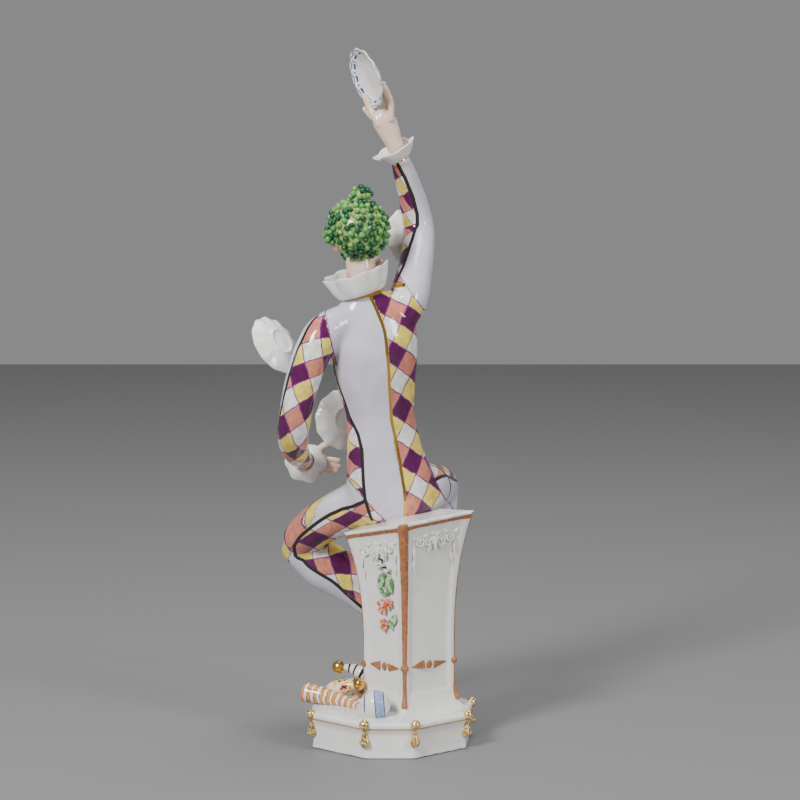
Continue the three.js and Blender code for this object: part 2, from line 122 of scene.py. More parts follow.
def add_limb(bm, rows, across=(1, 0, 0), segments=24, count=24, bulge=0.7, cap=4):
    """Adds a round-ended limb. bulge is how far its ends reach out, in half depths."""
    path = smooth_rows(rows, count)
    tangents, sides, fronts = frames_along(path[:, :3], across)
    beyond = np.linspace(1, 1 / cap, cap) * math.radians(84)
    stations = [(0, angle, -1) for angle in beyond]
    stations += [(index, 0, 0) for index in range(count)]
    stations += [(count - 1, angle, 1) for angle in beyond[::-1]]
    loops = []
    for index, angle, way in stations:
        half_width, half_depth = path[index, 3:5]
        centre = path[index, :3] + tangents[index] * way * math.sin(angle) * half_depth * bulge
        turn = Matrix((sides[index], fronts[index], tangents[index])).transposed().to_4x4()
        size = Matrix.Diagonal((half_width * math.cos(angle), half_depth * math.cos(angle), 1, 1))
        matrix = Matrix.Translation(centre) @ turn @ size
        made = bmesh.ops.create_circle(bm, segments=segments, radius=1, matrix=matrix)
        loops.append(made["verts"])
    return join_loops(bm, loops)


def loop_edges(verts):
    """The edges whose two ends are both among verts."""
    inside = set(verts)
    return list({edge for vert in verts for edge in vert.link_edges if set(edge.verts) <= inside})


def join_loops(bm, loops, closed=True):
    """Bridges rings of vertices one by one, and closes the two end rings."""
    edges = [loop_edges(loop) for loop in loops]
    for lower, upper in zip(edges, edges[1:]):
        bmesh.ops.bridge_loops(bm, edges=lower + upper)
    if closed:
        for loop in (loops[0], loops[-1]):
            bmesh.ops.contextual_create(bm, geom=list(loop))
    return [vert for loop in loops for vert in loop]


# %% [markdown]
# The suit covers the torso, the arms and the legs. In clay they are one skin with soft joints, so
# the limbs are joined with the voxel remesh, smoothed, and subdivided once. The rows follow the
# solid, and the calves, shoulders and hips get the fullness of a body.

# %% Rows of the body
TORSO_TURN = math.radians(12)
TORSO_ACROSS = (math.cos(TORSO_TURN), math.sin(TORSO_TURN), 0)
UPRIGHT, SIDEWAYS, DEEP = (0, 0, 1), (1, 0, 0), (0, 1, 0)
TORSO = [
    (1.5, 19, 130, 19, 15), (1.3, 18, 134.5, 24.5, 19), (0.8, 17, 142.5, 26.3, 20.5),
    (-0.6, 16, 153, 25.8, 19.5), (-2.7, 14, 164, 23.3, 17), (-4.1, 12, 176, 21.5, 15),
    (-5.5, 10, 189, 20.1, 14), (-7, 8, 203, 22, 15.5), (-8.4, 6, 216.5, 24.3, 17.5),
    (-8.9, 4.5, 229.5, 25.4, 18), (-9.8, 3.5, 241, 25, 16), (-12.7, 3, 252, 20.5, 12.5),
    (-15, 3, 260, 14, 10), (-16, 3.5, 267, 9.4, 9),
]
RIGHT_ARM = [
    (5, 6.5, 246, 9.5, 9.5), (10.5, 10, 258, 11.8, 11), (14, 21, 272, 10.6, 10.6),
    (16.3, 34, 285, 9.8, 9.8), (16.9, 43, 296, 9.4, 9.4), (14.6, 42, 309, 8.8, 8.8),
    (11.7, 37, 320, 7.8, 7.8), (8.7, 32, 329.7, 7, 7), (5.5, 27, 339, 5.8, 5.2),
]
LEFT_ARM = [
    (-28, -2.5, 246.5, 10, 9.5), (-38.5, -7.5, 240, 11, 10.6), (-44.7, -10, 228.6, 10.8, 10.8),
    (-48.7, -11, 218, 10.4, 10.4), (-51.9, -12, 207, 9.9, 9.9), (-54, -11, 195, 9.6, 9.6),
    (-55.7, -7, 183.5, 9.3, 9.3), (-56, 4, 174.5, 8.8, 8.8), (-54.4, 15, 167.8, 7.8, 7.8),
    (-52, 28, 162.5, 6.5, 6.5), (-50.5, 35, 159.8, 5.6, 5),
]
LEFT_THIGH = [
    (-2, 17, 143, 14, 14), (-10.6, 18, 140, 15.2, 15), (-23.6, 24, 133, 14.6, 14.4),
    (-35.6, 32, 126.5, 13.6, 13.4), (-46.6, 41, 118.4, 12.4, 12.2), (-55, 48.5, 110.5, 10.6, 10.6),
]
LEFT_SHIN = [
    (-57, 51.5, 107, 10.2, 10.2), (-49, 51.5, 101, 11, 12.8), (-39, 50.5, 94.8, 11.6, 15),
    (-27, 49.5, 87, 10.6, 14), (-14, 48.3, 73.5, 7.6, 9.2), (0, 47, 60.5, 5.6, 5.8),
]
RIGHT_THIGH = [
    (12, 18, 145, 15, 15), (19, 28, 145, 14.8, 14.8), (24.5, 43, 144, 13.6, 13.6),
    (28.5, 57, 142, 12.2, 12.2), (30.5, 66, 138.5, 10.8, 10.8),
]
RIGHT_SHIN = [
    (30.5, 67, 137, 10.6, 10.6), (29.5, 68, 122, 10.6, 10.6), (27, 66.5, 106, 10.4, 10.4),
    (24, 62, 88, 8.6, 8.6), (21.5, 57.5, 71, 6.6, 6.6), (20.5, 54, 58, 5.6, 5.6),
]

# %% Join the limbs into one skin
SUIT_VOXEL = 1.9


def remeshed(bm, name, voxel, smooth=6, levels=1):
    """Fuses what is in a bmesh into one smooth skin, in metres."""
    mesh = finish_bmesh(bm, name)
    return settled(
        mesh,
        REMESH={"mode": "VOXEL", "voxel_size": voxel * MM, "use_smooth_shade": True},
        SMOOTH={"factor": 0.5, "iterations": smooth},
        SUBSURF={"levels": levels, "render_levels": levels},
    )


bm = bmesh.new()
add_limb(bm, TORSO, TORSO_ACROSS, segments=36, count=40, bulge=0.2)
add_limb(bm, RIGHT_ARM, SIDEWAYS, count=36)
add_limb(bm, LEFT_ARM, SIDEWAYS, count=36)
add_limb(bm, LEFT_THIGH, UPRIGHT)
add_limb(bm, LEFT_SHIN, DEEP)
add_limb(bm, RIGHT_THIGH, SIDEWAYS)
add_limb(bm, RIGHT_SHIN, SIDEWAYS)
suit_mesh = remeshed(bm, "suit", SUIT_VOXEL)
print("suit:", len(suit_mesh.polygons), "faces")

# %% Slippers
LEFT_FOOT = [(-3, 46.5, 60, 5.8, 5), (4, 47, 53, 5.4, 5.4), (14, 48, 46.5, 5, 4.2), (24, 48, 42, 2.6, 2.4)]
RIGHT_FOOT = [(20.5, 55, 60, 5.2, 5.4), (20, 53, 47, 5, 6), (19, 49, 35, 5.2, 4.6), (18, 43, 25, 3.4, 3)]

bm = bmesh.new()
add_limb(bm, LEFT_FOOT, DEEP, segments=20, count=14)
add_limb(bm, RIGHT_FOOT, SIDEWAYS, segments=20, count=14)
slippers_mesh = finish_bmesh(bm, "slippers")

# %% [markdown]
# Hands are a flat palm and a few thin fingers. They are joined like the suit, with voxels small
# enough for the webs between the fingers.

# %% Hands
RIGHT_PALM = [
    (4.4, 25.5, 342, 4.8, 4.4), (2.2, 24, 348, 5, 4.2), (-0.6, 23, 355, 6.4, 4.4),
    (-3.4, 22, 361.5, 7, 4.2), (-3, 22.5, 366, 4.6, 3.4),
]
RIGHT_FINGERS = [
    (2.1, (-6.5, 20, 359), (-11, 23, 367), (-14, 28.2, 373.8)),
    (1.8, (-5, 25, 360), (-10, 29, 362.5), (-14.5, 30.5, 367.5)),
    (1.9, (0.6, 18.5, 362), (0.6, 17, 371), (-2.6, 16.5, 379.5)),
    (1.9, (0.4, 22, 363), (-0.4, 21.8, 373), (-4, 22, 382)),
    (1.9, (-0.6, 25.5, 362), (-1.6, 26.5, 372), (-5, 27, 380)),
]
LEFT_PALM = [(-50.5, 35, 159.8, 4.8, 4), (-47, 40, 158.6, 6.6, 4), (-40.8, 43.4, 156.6, 6.4, 3.6)]
LEFT_FINGERS = [
    (2, (-44, 40.5, 161), (-41, 41, 167.4), (-35.4, 39, 170.6)),
    (1.7, (-43, 44, 159), (-36, 46, 159.5), (-31, 46, 158.6)),
    (1.7, (-43, 44, 156.5), (-36, 46, 156), (-30.6, 46, 155.2)),
    (1.7, (-43, 43.5, 154), (-37, 45, 153), (-32.4, 45, 152.4)),
]
HAND_VOXEL = 0.5


def hand(name, palm, fingers, across):
    bm = bmesh.new()
    add_limb(bm, palm, across, count=14)
    for radius, *points in fingers:
        rows = [(*point, radius, radius) for point in points]
        add_limb(bm, rows, SIDEWAYS, segments=14, count=12, bulge=1)
    return remeshed(bm, name, HAND_VOXEL, smooth=4, levels=0)


right_hand_mesh = hand("right_hand", RIGHT_PALM, RIGHT_FINGERS, (1, 0, 0.3))
left_hand_mesh = hand("left_hand", LEFT_PALM, LEFT_FINGERS, UPRIGHT)

# %% [markdown]
# The head is built upright in its own frame, looking along +Y, and tilted into place at the end.
# A face in porcelain is small and smooth, so a few rounded forms are enough: skull, jaw, nose,
# lips, eyes under lids, and ears.

# %% Head frame
HEAD_CENTRE = Vector((-18.2, 8, 297))
PITCH, ROLL, TURN = (math.radians(angle) for angle in (14, -20, 22))
HEAD_TURN = (
    Matrix.Rotation(TURN, 4, "Z") @ Matrix.Rotation(ROLL, 4, "Y") @ Matrix.Rotation(PITCH, 4, "X")
)
HEAD_PLACE = Matrix.Translation(HEAD_CENTRE) @ HEAD_TURN


def pebble(bm, centre, radii, segments=24, turn=Matrix.Identity(4)):
    """Adds an ellipsoid."""
    matrix = Matrix.Translation(centre) @ turn @ Matrix.Diagonal((*radii, 1))
    made = bmesh.ops.create_uvsphere(
        bm, u_segments=segments, v_segments=segments * 2 // 3, radius=1, matrix=matrix
    )
    return made["verts"]


# %% Head
SKULL = [
    (0, 11, -20, 5, 4.6), (0, 5.5, -16, 8.8, 10.5), (0, 2, -9, 12.2, 14.5), (0, 0.3, -1, 14.6, 16.4),
    (0, -0.8, 6, 15, 17), (0, -1, 11, 13.2, 14.8), (0, -1, 15, 9, 10),
]
NOSE = [(0, 15, 3, 1.2, 1.4), (0, 17.6, -1.5, 1.5, 1.6), (0, 18.8, -5.2, 2.4, 2.2)]
NECK = [(-16, 3.5, 262, 9, 9), (-16.7, 5, 277, 8.6, 8.6), (-18.4, 7, 291, 8.2, 8.2)]
HEAD_VOXEL = 0.62

bm = bmesh.new()
add_limb(bm, SKULL, SIDEWAYS, segments=40, count=30, bulge=0.35)
add_limb(bm, NOSE, SIDEWAYS, segments=16, count=12, bulge=0.9)
pebble(bm, (0, 15.4, -9.8), (4.2, 2, 0.95))
pebble(bm, (0, 15, -11.6), (3.4, 2, 1.05))
pebble(bm, (0, 12.6, -17.4), (4, 3.6, 3.2))
for side in (-1, 1):
    pebble(bm, (side * 5.4, 14.4, 0), (2.9, 2.5, 2))
    pebble(bm, (side * 15.9, -1.5, -1), (2.3, 3.2, 5))
    pebble(bm, (side * 8, 10.5, -6.5), (4.6, 4, 4.6))
bmesh.ops.transform(bm, matrix=HEAD_PLACE, verts=bm.verts)
add_limb(bm, NECK, SIDEWAYS, count=16)
head_mesh = remeshed(bm, "head", HEAD_VOXEL, smooth=5, levels=0)
print("head:", len(head_mesh.polygons), "faces")

# %% [markdown]
# The curls are a cap with glossy beads pressed into it. A golden-angle spiral spreads the beads
# evenly over the cap, and a fixed seed shifts each one a little, as a hand would.

# %% Hair
HAIR_CENTRE, HAIR_RADII = Vector((-1, -3, 3.5)), Vector((16.6, 17.2, 16.6))
KNOT_CENTRE, KNOT_RADIUS = Vector((7, 0, 20.5)), 5.0
CURLS_CENTRE, CURLS_RADIUS = Vector((-16, -1, 5.5)), 4.6
GOLDEN = math.pi * (3 - math.sqrt(5))
BEAD_RADIUS = 1.8
chance = np.random.default_rng(11)


def spiral(count):
    """Directions spread evenly over a ball."""
    heights = 1 - 2 * (np.arange(count) + 0.5) / count
    rings = np.sqrt(1 - heights**2)
    turns = GOLDEN * np.arange(count)
    return np.column_stack((rings * np.cos(turns), rings * np.sin(turns), heights))


def over_face(way):
    return way[1] > 0.28 and way[2] < 0.42 + 0.2 * way[1]


def over_ear(way):
    return abs(way[0]) > 0.72 and -0.75 < way[2] < 0.12 and way[1] > -0.4


bm = bmesh.new()
pebble(bm, HAIR_CENTRE, HAIR_RADII, segments=48)
pebble(bm, KNOT_CENTRE, (KNOT_RADIUS,) * 3)
bmesh.ops.transform(bm, matrix=HEAD_PLACE, verts=bm.verts)
hair_mesh = remeshed(bm, "hair_cap", 0.8, smooth=4, levels=0)

bm = bmesh.new()
BEAD_COUNT = 210
for way in spiral(BEAD_COUNT):
    if way[2] < -0.86 or over_face(way) or over_ear(way):
        continue
    way = Vector(way) + Vector(chance.normal(0, 0.03, 3))
    radius = BEAD_RADIUS * chance.uniform(0.85, 1.12)
    spot = HAIR_CENTRE + way.normalized() * (HAIR_RADII + Vector((0.9,) * 3))
    bmesh.ops.create_icosphere(bm, subdivisions=2, radius=radius, matrix=Matrix.Translation(spot))
for way in spiral(26):
    if way[2] > -0.3:
        spot = KNOT_CENTRE + Vector(way) * (KNOT_RADIUS + 0.8)
        bmesh.ops.create_icosphere(bm, subdivisions=2, radius=BEAD_RADIUS, matrix=Matrix.Translation(spot))
for way in spiral(24):
    if way[0] < 0.3:
        spot = CURLS_CENTRE + Vector(way) * CURLS_RADIUS
        bmesh.ops.create_icosphere(bm, subdivisions=2, radius=BEAD_RADIUS, matrix=Matrix.Translation(spot))
bmesh.ops.transform(bm, matrix=HEAD_PLACE, verts=bm.verts)
beads_mesh = finish_bmesh(bm, "hair_beads")
print("hair beads:", len(beads_mesh.polygons), "faces")

# %% [markdown]
# Collar and cuffs are thin ruffles. Each one is a few rings around an axis, and the outer rings
# swing in and out in uneven waves, because folds of a real ruffle are never the same twice.
# Solidify gives the sheet its wall of about one millimetre, and a subdivision rounds its lip.

# %% Rings placed by a function
def ring_skin(bm, columns, rows, place, closed=True):
    """Adds rings of vertices, puts each vertex where place says, and joins the rings."""
    loops = []
    for row in range(rows):
        made = bmesh.ops.create_circle(bm, segments=columns, radius=1)
        for column, vert in enumerate(made["verts"]):
            vert.co = place(column, row)
        loops.append(made["verts"])
    return join_loops(bm, loops, closed)


# %% Ruffles
RUFFLE_WALL = 1.0


def ruffle(name, centre, axis, sizes, waves, swing):
    inner, rim, height = sizes
    turn = Vector((0, 0, 1)).rotation_difference(Vector(axis)).to_matrix()
    columns, rows = waves * 8, 9

    def place(column, row):
        angle = column / columns * math.tau
        along = row / (rows - 1)
        wave = math.cos(angle * waves) + 0.45 * math.cos(angle * (waves - 2) + 1.3)
        reach = inner + (rim - inner) * along**0.8 + swing * along**1.4 * wave
        level = -1 + (height + 1) * along**1.15 + 0.55 * swing * along**2 * wave
        return turn @ Vector((reach * math.cos(angle), reach * math.sin(angle), level)) + Vector(centre)

    bm = bmesh.new()
    ring_skin(bm, columns, rows, place, closed=False)
    bmesh.ops.recalc_face_normals(bm, faces=bm.faces)
    mesh = finish_bmesh(bm, name)
    return settled(
        mesh,
        SOLIDIFY={"thickness": RUFFLE_WALL * MM, "offset": 0},
        SUBSURF={"levels": 1, "render_levels": 1},
    )


collar_mesh = ruffle("collar", (-16.4, 3, 263.8), (-0.32, -0.08, 1), (13.6, 18.6, 12.5), 9, 1.25)
right_cuff_mesh = ruffle("right_cuff", (5, 26.5, 339.5), (-0.55, -0.2, 1), (6, 12.4, 6.5), 6, 1.0)
left_cuff_mesh = ruffle("left_cuff", (-50.8, 33, 160.4), (0.12, 1, -0.3), (6, 11.6, 6), 6, 1.0)

# %% [markdown]
# The saucers are small moulded dishes with twelve lobes. A saucer is a profile turned round its
# axis. Towards the rim every ring is drawn in between the lobes, so the wall gets its flutes too.

# %% Saucers
SAUCER_PLACES = [
    ((-11.4, 21, 386.3), (0.85, 0.42, 0.31)),
    ((12.9, 52, 291), (0.7, -0.66, 0.25)),
    ((-63.8, -4.6, 234.6), (0.69, -0.5, 0.52)),
    ((-26.3, 40, 184.2), (0.35, -0.93, 0.1)),
]
SAUCER_RADIUS, SAUCER_LOBES, SAUCER_SCALLOP = 18.4, 12, 0.045
SAUCER_PROFILE = [
    (1.5, -2.2), (5, -2.25), (6.8, -2.4), (7.2, -3), (7.9, -3), (8.4, -2.3), (9.2, -1.8), (12, -0.9),
    (15.5, 0.7), (17.8, 2.1), (18.4, 2.7), (18.1, 3.2), (17.4, 3.0), (15, 1.7), (11.5, 0.2), (8.5, -0.7),
    (7.2, -0.95), (4, -0.9), (1.5, -0.85),
]


def saucer(name, centre, underside):
    columns = SAUCER_LOBES * 6
    turn = Vector((0, 0, -1)).rotation_difference(Vector(underside)).to_matrix()

    def place(column, row):
        radius, level = SAUCER_PROFILE[row]
        angle = column / columns * math.tau
        outer = min(max(radius / SAUCER_RADIUS * 2 - 1, 0), 1)
        dip = (0.5 - 0.5 * math.cos(angle * SAUCER_LOBES)) * outer * outer * (3 - 2 * outer)
        reach = radius * (1 - SAUCER_SCALLOP * dip)
        return turn @ Vector((reach * math.cos(angle), reach * math.sin(angle), level + 0.5 * dip))

    bm = bmesh.new()
    ring_skin(bm, columns, len(SAUCER_PROFILE), place)
    bmesh.ops.recalc_face_normals(bm, faces=bm.faces)
    bmesh.ops.translate(bm, vec=centre, verts=bm.verts)
    return finish_bmesh(bm, name)


saucer_meshes = [saucer(f"saucer_{index}", *place) for index, place in enumerate(SAUCER_PLACES, 1)]

# %% [markdown]
# The base is a low eight-sided block with a rolled rim, and the pedestal is a square column that
# stands on its corner, with a waist, sunk panels and a sloping seat. On the real piece slip fills
# the joint between them, so both go through the voxel remesh together and come out as one skin.

# %% Base
BASE_BEARINGS = [math.radians(angle) for angle in (-25, 15, 61, 107, 154, 203, 253, 287)]
BASE_RINGS = [(49, 0), (48.4, 3), (48.4, 14), (50.2, 17.5), (50.6, 19.5), (49.2, 21), (36, 22)]
BASE_TOP = 22.0


def around_base(bearing, radius, height):
    return Vector((radius * math.cos(bearing), radius * math.sin(bearing), height))


bm = bmesh.new()
ring_skin(
    bm, 8, len(BASE_RINGS), lambda column, row: around_base(BASE_BEARINGS[column], *BASE_RINGS[row])
)

# %% Pedestal
PEDESTAL_X, PEDESTAL_TURN = 11.0, math.radians(-95.5)
PEDESTAL_FOOT = 20.0
PEDESTAL_TOPS = (134, 137, 132.5, 122.5)
RIB, PANEL_DEPTH = 0.1, 0.9
STOPS = (0, 0.05, RIB, RIB + 0.02, 0.35, 0.65, 1 - RIB - 0.02, 1 - RIB, 0.95)
LEVELS = [0, 0.02, 0.05, 0.08, 0.1, 0.112, *np.linspace(0.2, 0.9, 15), 0.945, 0.965, 0.975, 0.985, 1]


def pedestal_side(level):
    above = max((level - 0.3) / 0.7, 0)
    below = max(1 - level / 0.14, 0)
    return 38.3 + 16 * above**2.6 + 10 * below**3


def pedestal_corner(index, level, inset):
    corner = index % 4
    angle = PEDESTAL_TURN + math.pi / 2 * corner
    reach = (pedestal_side(level) - 2 * inset) / math.sqrt(2)
    height = PEDESTAL_FOOT + level * (PEDESTAL_TOPS[corner] - PEDESTAL_FOOT)
    return Vector((PEDESTAL_X + reach * math.cos(angle), reach * math.sin(angle), height))


def on_pedestal(face, across, level, inset=PANEL_DEPTH):
    """A point on one face: across runs from 0 at its first corner to 1 at the next."""
    return pedestal_corner(face, level, inset).lerp(pedestal_corner(face + 1, level, inset), across)


def place_on_column(column, row):
    stop, level = STOPS[column % len(STOPS)], LEVELS[row]
    sunk = RIB < stop < 1 - RIB and 0.105 < level < 0.97
    return on_pedestal(column // len(STOPS), stop, level, PANEL_DEPTH if sunk else 0)


ring_skin(bm, 4 * len(STOPS), len(LEVELS), place_on_column)
pedestal_mesh = remeshed(bm, "pedestal", 0.9, smooth=3, levels=0)
print("pedestal and base:", len(pedestal_mesh.polygons), "faces")

# %% [markdown]
# The ornament was pressed in small moulds and stuck on with slip: darts, ovals and corner nodes in
# a row near the foot, and a garland of scrolls and drops under the seat. Every shape is set on a
# face by two numbers, how far across and how high.

# %% Ornament of the pedestal
BAND_LEVEL = 0.245


def face_out(face):
    """The outward direction of a face."""
    angle = PEDESTAL_TURN + math.pi / 2 * face + math.pi / 4
    return Vector((math.cos(angle), math.sin(angle), 0))


def face_turn(face):
    """Turns a shape that faces +X, with +Y across, to face out of a face."""
    return Matrix.Rotation(PEDESTAL_TURN + math.pi / 2 * face + math.pi / 4, 4, "Z")


def on_face(face, across, level, lift=0):
    return on_pedestal(face, across, level) + face_out(face) * lift


def drop(bm, face, across, level, length, width, way, lift=0.2):
    """A tapering drop on a face: way is its direction in degrees, 0 across and 90 up."""
    start = on_face(face, across, level, lift)
    step = face_turn(face) @ Vector((0, math.cos(math.radians(way)), math.sin(math.radians(way))))
    rows = [
        (*(start + step * length * part), width * size, width * size * 0.7)
        for part, size in ((0, 0.7), (0.3, 1), (0.65, 0.7), (1, 0.2))
    ]
    side = face_turn(face) @ Vector((0, math.sin(math.radians(way)), -math.cos(math.radians(way))))
    add_limb(bm, rows, side, segments=10, count=8, cap=3)


def curl(bm, face, across, level, radius, turns, start, tube=0.75, hand=1):
    """A scroll that winds in to its centre."""
    rows = []
    for part in np.linspace(0, 1, 14):
        angle = math.radians(start) + hand * turns * math.tau * part
        reach = radius * (1 - 0.85 * part)
        offset = Vector((0.5 * part, reach * math.cos(angle), reach * math.sin(angle)))
        size = tube * (1 - 0.35 * part)
        rows.append((*(on_face(face, across, level, 0.15) + face_turn(face) @ offset), size, size))
    add_limb(bm, rows, face_out(face), segments=8, count=30, cap=2)


def garland(bm, face):
    for hand, across in ((1, 0.27), (-1, 0.73)):
        curl(bm, face, across, 0.885, 3.6, 1.4, 90, hand=hand)
        curl(bm, face, across + hand * 0.11, 0.87, 2.6, 1.2, 200, hand=-hand)
        drop(bm, face, across - hand * 0.09, 0.9, 6, 1.3, 90 + hand * 40)
        drop(bm, face, across - hand * 0.1, 0.86, 7, 1.2, 270)
        drop(bm, face, across - hand * 0.1, 0.79, 6, 0.9, 270)
        drop(bm, face, across + hand * 0.04, 0.91, 5, 1.1, 90 - hand * 60)
        drop(bm, face, across + hand * 0.16, 0.86, 4.5, 1.1, 270 - hand * 30)
    drop(bm, face, 0.5, 0.9, 8, 1.7, 270)
    for way in (215, 240, 300, 325):
        drop(bm, face, 0.5, 0.905, 5.5, 1.1, way)
    for way in (20, 160):
        drop(bm, face, 0.5, 0.91, 5, 1.2, way)


bm = bmesh.new()
for face in range(4):
    garland(bm, face)
relief_mesh = finish_bmesh(bm, "garland")


def dart(bm, face, across, hand):
    """A triangular dart whose point looks towards the nearer corner."""
    made = bmesh.ops.create_cone(
        bm, cap_ends=True, segments=3, radius1=3.4, radius2=0.5, depth=9.4,
        matrix=Matrix.Translation(on_face(face, across, BAND_LEVEL, 0.1))
        @ face_turn(face) @ Matrix.Rotation(hand * math.pi / 2, 4, "X")
        @ Matrix.Rotation(0, 4, "Z") @ Matrix.Diagonal((0.5, 1, 1, 1)),
    )
    return made["verts"]


bm = bmesh.new()
for face in range(4):
    for across, hand in ((0.27, 1), (0.73, -1)):
        dart(bm, face, across, hand)
    pebble(bm, on_face(face, 0.5, BAND_LEVEL, 0.2), (1.3, 2.0, 2.5), 20, face_turn(face))
    corner = pedestal_corner(face, BAND_LEVEL, 0.9)
    pebble(bm, corner, (2.4, 2.4, 2.4), 24)
    foot = pedestal_corner(face, 0.045, 0.6)
    spear = [(0.2, 0.5), (0.15, 1.0), (0.09, 1.8), (0.05, 2.3)]
    rows = [(*pedestal_corner(face, level, 0.7), size, size * 0.8) for level, size in spear]
    add_limb(bm, rows, face_turn(face) @ Vector((-1, 1, 0)), segments=12, count=12)
bands_mesh = settled(
    finish_bmesh(bm, "band_of_darts"),
    BEVEL={"width": 0.35 * MM, "segments": 2, "limit_method": "ANGLE"},
)
print("ornament:", len(relief_mesh.polygons) + len(bands_mesh.polygons), "faces")

# %% [markdown]
# The flower spray on the left front panel is a ribbon bow over leaves and two open blossoms. The
# petals are thin pressed pads of clay, bent up at the edge.

# %% Flower spray
SPRAY_FACE = 3


def leaf(bm, across, level, length, width, way, cup=0.35):
    """A pointed leaf: a flattened ball, pulled to a point, creased along its middle."""
    verts = bmesh.ops.create_uvsphere(bm, u_segments=20, v_segments=14, radius=1)["verts"]
    for vert in verts:
        x, y, z = vert.co
        taper = 1 - 0.45 * z * z
        crease = 0.5 * abs(y) * taper
        vert.co = Vector((x * 0.55 + crease + cup * z * z, y * width * taper, z * length))
    turn = face_turn(SPRAY_FACE) @ Matrix.Rotation(math.radians(way - 90), 4, "X")
    place = Matrix.Translation(on_face(SPRAY_FACE, across, level, 0.9))
    bmesh.ops.transform(bm, matrix=place @ turn, verts=verts)


def blossom(bm, across, level, radius, petals=5, start=0.0):
    centre = on_face(SPRAY_FACE, across, level, 1.0)
    for petal in range(petals):
        angle = start + petal * math.tau / petals
        verts = bmesh.ops.create_uvsphere(bm, u_segments=14, v_segments=10, radius=1)["verts"]
        for vert in verts:
            x, y, z = vert.co
            reach = (z + 1) / 2
            vert.co = Vector((x * 0.6 + 1.3 * reach * reach, y * radius * 0.42 * (0.6 + reach * 0.6), z * radius * 0.5))
        turn = face_turn(SPRAY_FACE) @ Matrix.Rotation(angle, 4, "X")
        shift = Matrix.Translation((0, 0, radius * 0.52))
        bmesh.ops.transform(bm, matrix=Matrix.Translation(centre) @ turn @ shift, verts=verts)
    return pebble(bm, centre + face_out(SPRAY_FACE) * 0.9, (1.1,) * 3, 12)


def bow_loop(bm, across, level, length, way):
    """A flat ribbon loop, seen from the side as a drop."""
    rows = []
    for part in np.linspace(0, 1, 13):
        angle = math.tau * part
        reach = length * (0.5 - 0.5 * math.cos(angle))
        rise = 0.36 * length * math.sin(angle)
        offset = Matrix.Rotation(math.radians(way), 3, "X") @ Vector((0.7 + 0.4 * math.sin(angle), reach, rise))
        rows.append((*(on_face(SPRAY_FACE, across, level) + face_turn(SPRAY_FACE) @ offset), 1.5, 0.45))
    add_limb(bm, rows, face_out(SPRAY_FACE), segments=12, count=40, cap=2)


bm = bmesh.new()
bow_loop(bm, 0.6, 0.8, 6.5, 172)
bow_loop(bm, 0.6, 0.8, 6, -28)
pebble(bm, on_face(SPRAY_FACE, 0.6, 0.8, 1.2), (1.6, 1.4, 1.8), 16)
bow_mesh = finish_bmesh(bm, "ribbon_bow")

bm = bmesh.new()
leaf(bm, 0.52, 0.715, 6.2, 2.9, 62)
leaf(bm, 0.7, 0.7, 6.2, 3.2, 105)
leaf(bm, 0.58, 0.655, 5.6, 2.7, 8)
leaf(bm, 0.78, 0.5, 4.2, 2.4, 250)
leaf(bm, 0.7, 0.475, 3.6, 2.0, 300)
leaf(bm, 0.67, 0.845, 2.6, 1.3, 80)
leaves_mesh = finish_bmesh(bm, "spray_leaves")

bm = bmesh.new()
blossom(bm, 0.52, 0.575, 4.6)
blossom(bm, 0.68, 0.59, 3.6, start=0.5)
blossom(bm, 0.54, 0.475, 3.9, start=0.9)
blossoms_mesh = finish_bmesh(bm, "blossoms")

# %% [markdown]
# Gilt balls sit on the eight corners of the rim, each with a small tassel under it. A tassel is a
# pear shape with five folds.

# %% Balls and tassels
BALL_RADIUS = 3.0
TASSEL_PROFILE = [(0.5, 0.5), (1.1, -1), (1.3, -3), (1.9, -5.5), (2.7, -8), (3.0, -9.6), (2.4, -10.8), (0.6, -11.2)]
TASSEL_FOLDS = 5

bm = bmesh.new()
for bearing in BASE_BEARINGS:
    pebble(bm, around_base(bearing, 49.8, 20), (BALL_RADIUS,) * 3, 32)
    foot = around_base(bearing, 48.8, 18.5)

    def place(column, row):
        radius, level = TASSEL_PROFILE[row]
        angle = column / 40 * math.tau
        reach = radius * (1 + 0.13 * (row / 7) * math.cos(TASSEL_FOLDS * angle + bearing))
        return foot + Vector((reach * math.cos(angle), reach * math.sin(angle), level))

    ring_skin(bm, 40, len(TASSEL_PROFILE), place)
bmesh.ops.recalc_face_normals(bm, faces=bm.faces)
tassels_mesh = finish_bmesh(bm, "balls_and_tassels")

# %% Juggling props on the base
BALL_CENTRE, PLAY_BALL_RADIUS = Vector((-8, -32.5, 28.6)), 8.3
CLUB = [
    (-49.5, 5, 27.4, 5.8, 5.8), (-38, 0, 26.3, 4.9, 4.9), (-27, -6.5, 24.8, 3.6, 3.6),
    (-18.5, -14, 23.2, 2.4, 2.4), (-14, -24, 23, 2.2, 2.2),
]
LOW_HORN = [(-37, 10, 23, 3.6, 3.6), (-33, 7, 28.6, 4.9, 4.9), (-26, 3, 31.5, 4.2, 4.2), (-20.5, -0.5, 33, 2.2, 2.2)]
HIGH_HORN = [(-10, 8, 33, 6, 6), (-16, 7, 38, 4.4, 4.4), (-22, 9, 40.6, 3.1, 3.1), (-27.5, 10, 41.3, 1.9, 1.9)]
BELLS = [(3.8, (-30.3, 10, 41.5)), (3.6, (-18.1, -2, 33.9))]

bm = bmesh.new()
pebble(bm, BALL_CENTRE, (PLAY_BALL_RADIUS,) * 3, 48)
ball_mesh = finish_bmesh(bm, "play_ball")

bm = bmesh.new()
add_limb(bm, CLUB, UPRIGHT, segments=28, count=40, bulge=0.3)
club_mesh = finish_bmesh(bm, "club")

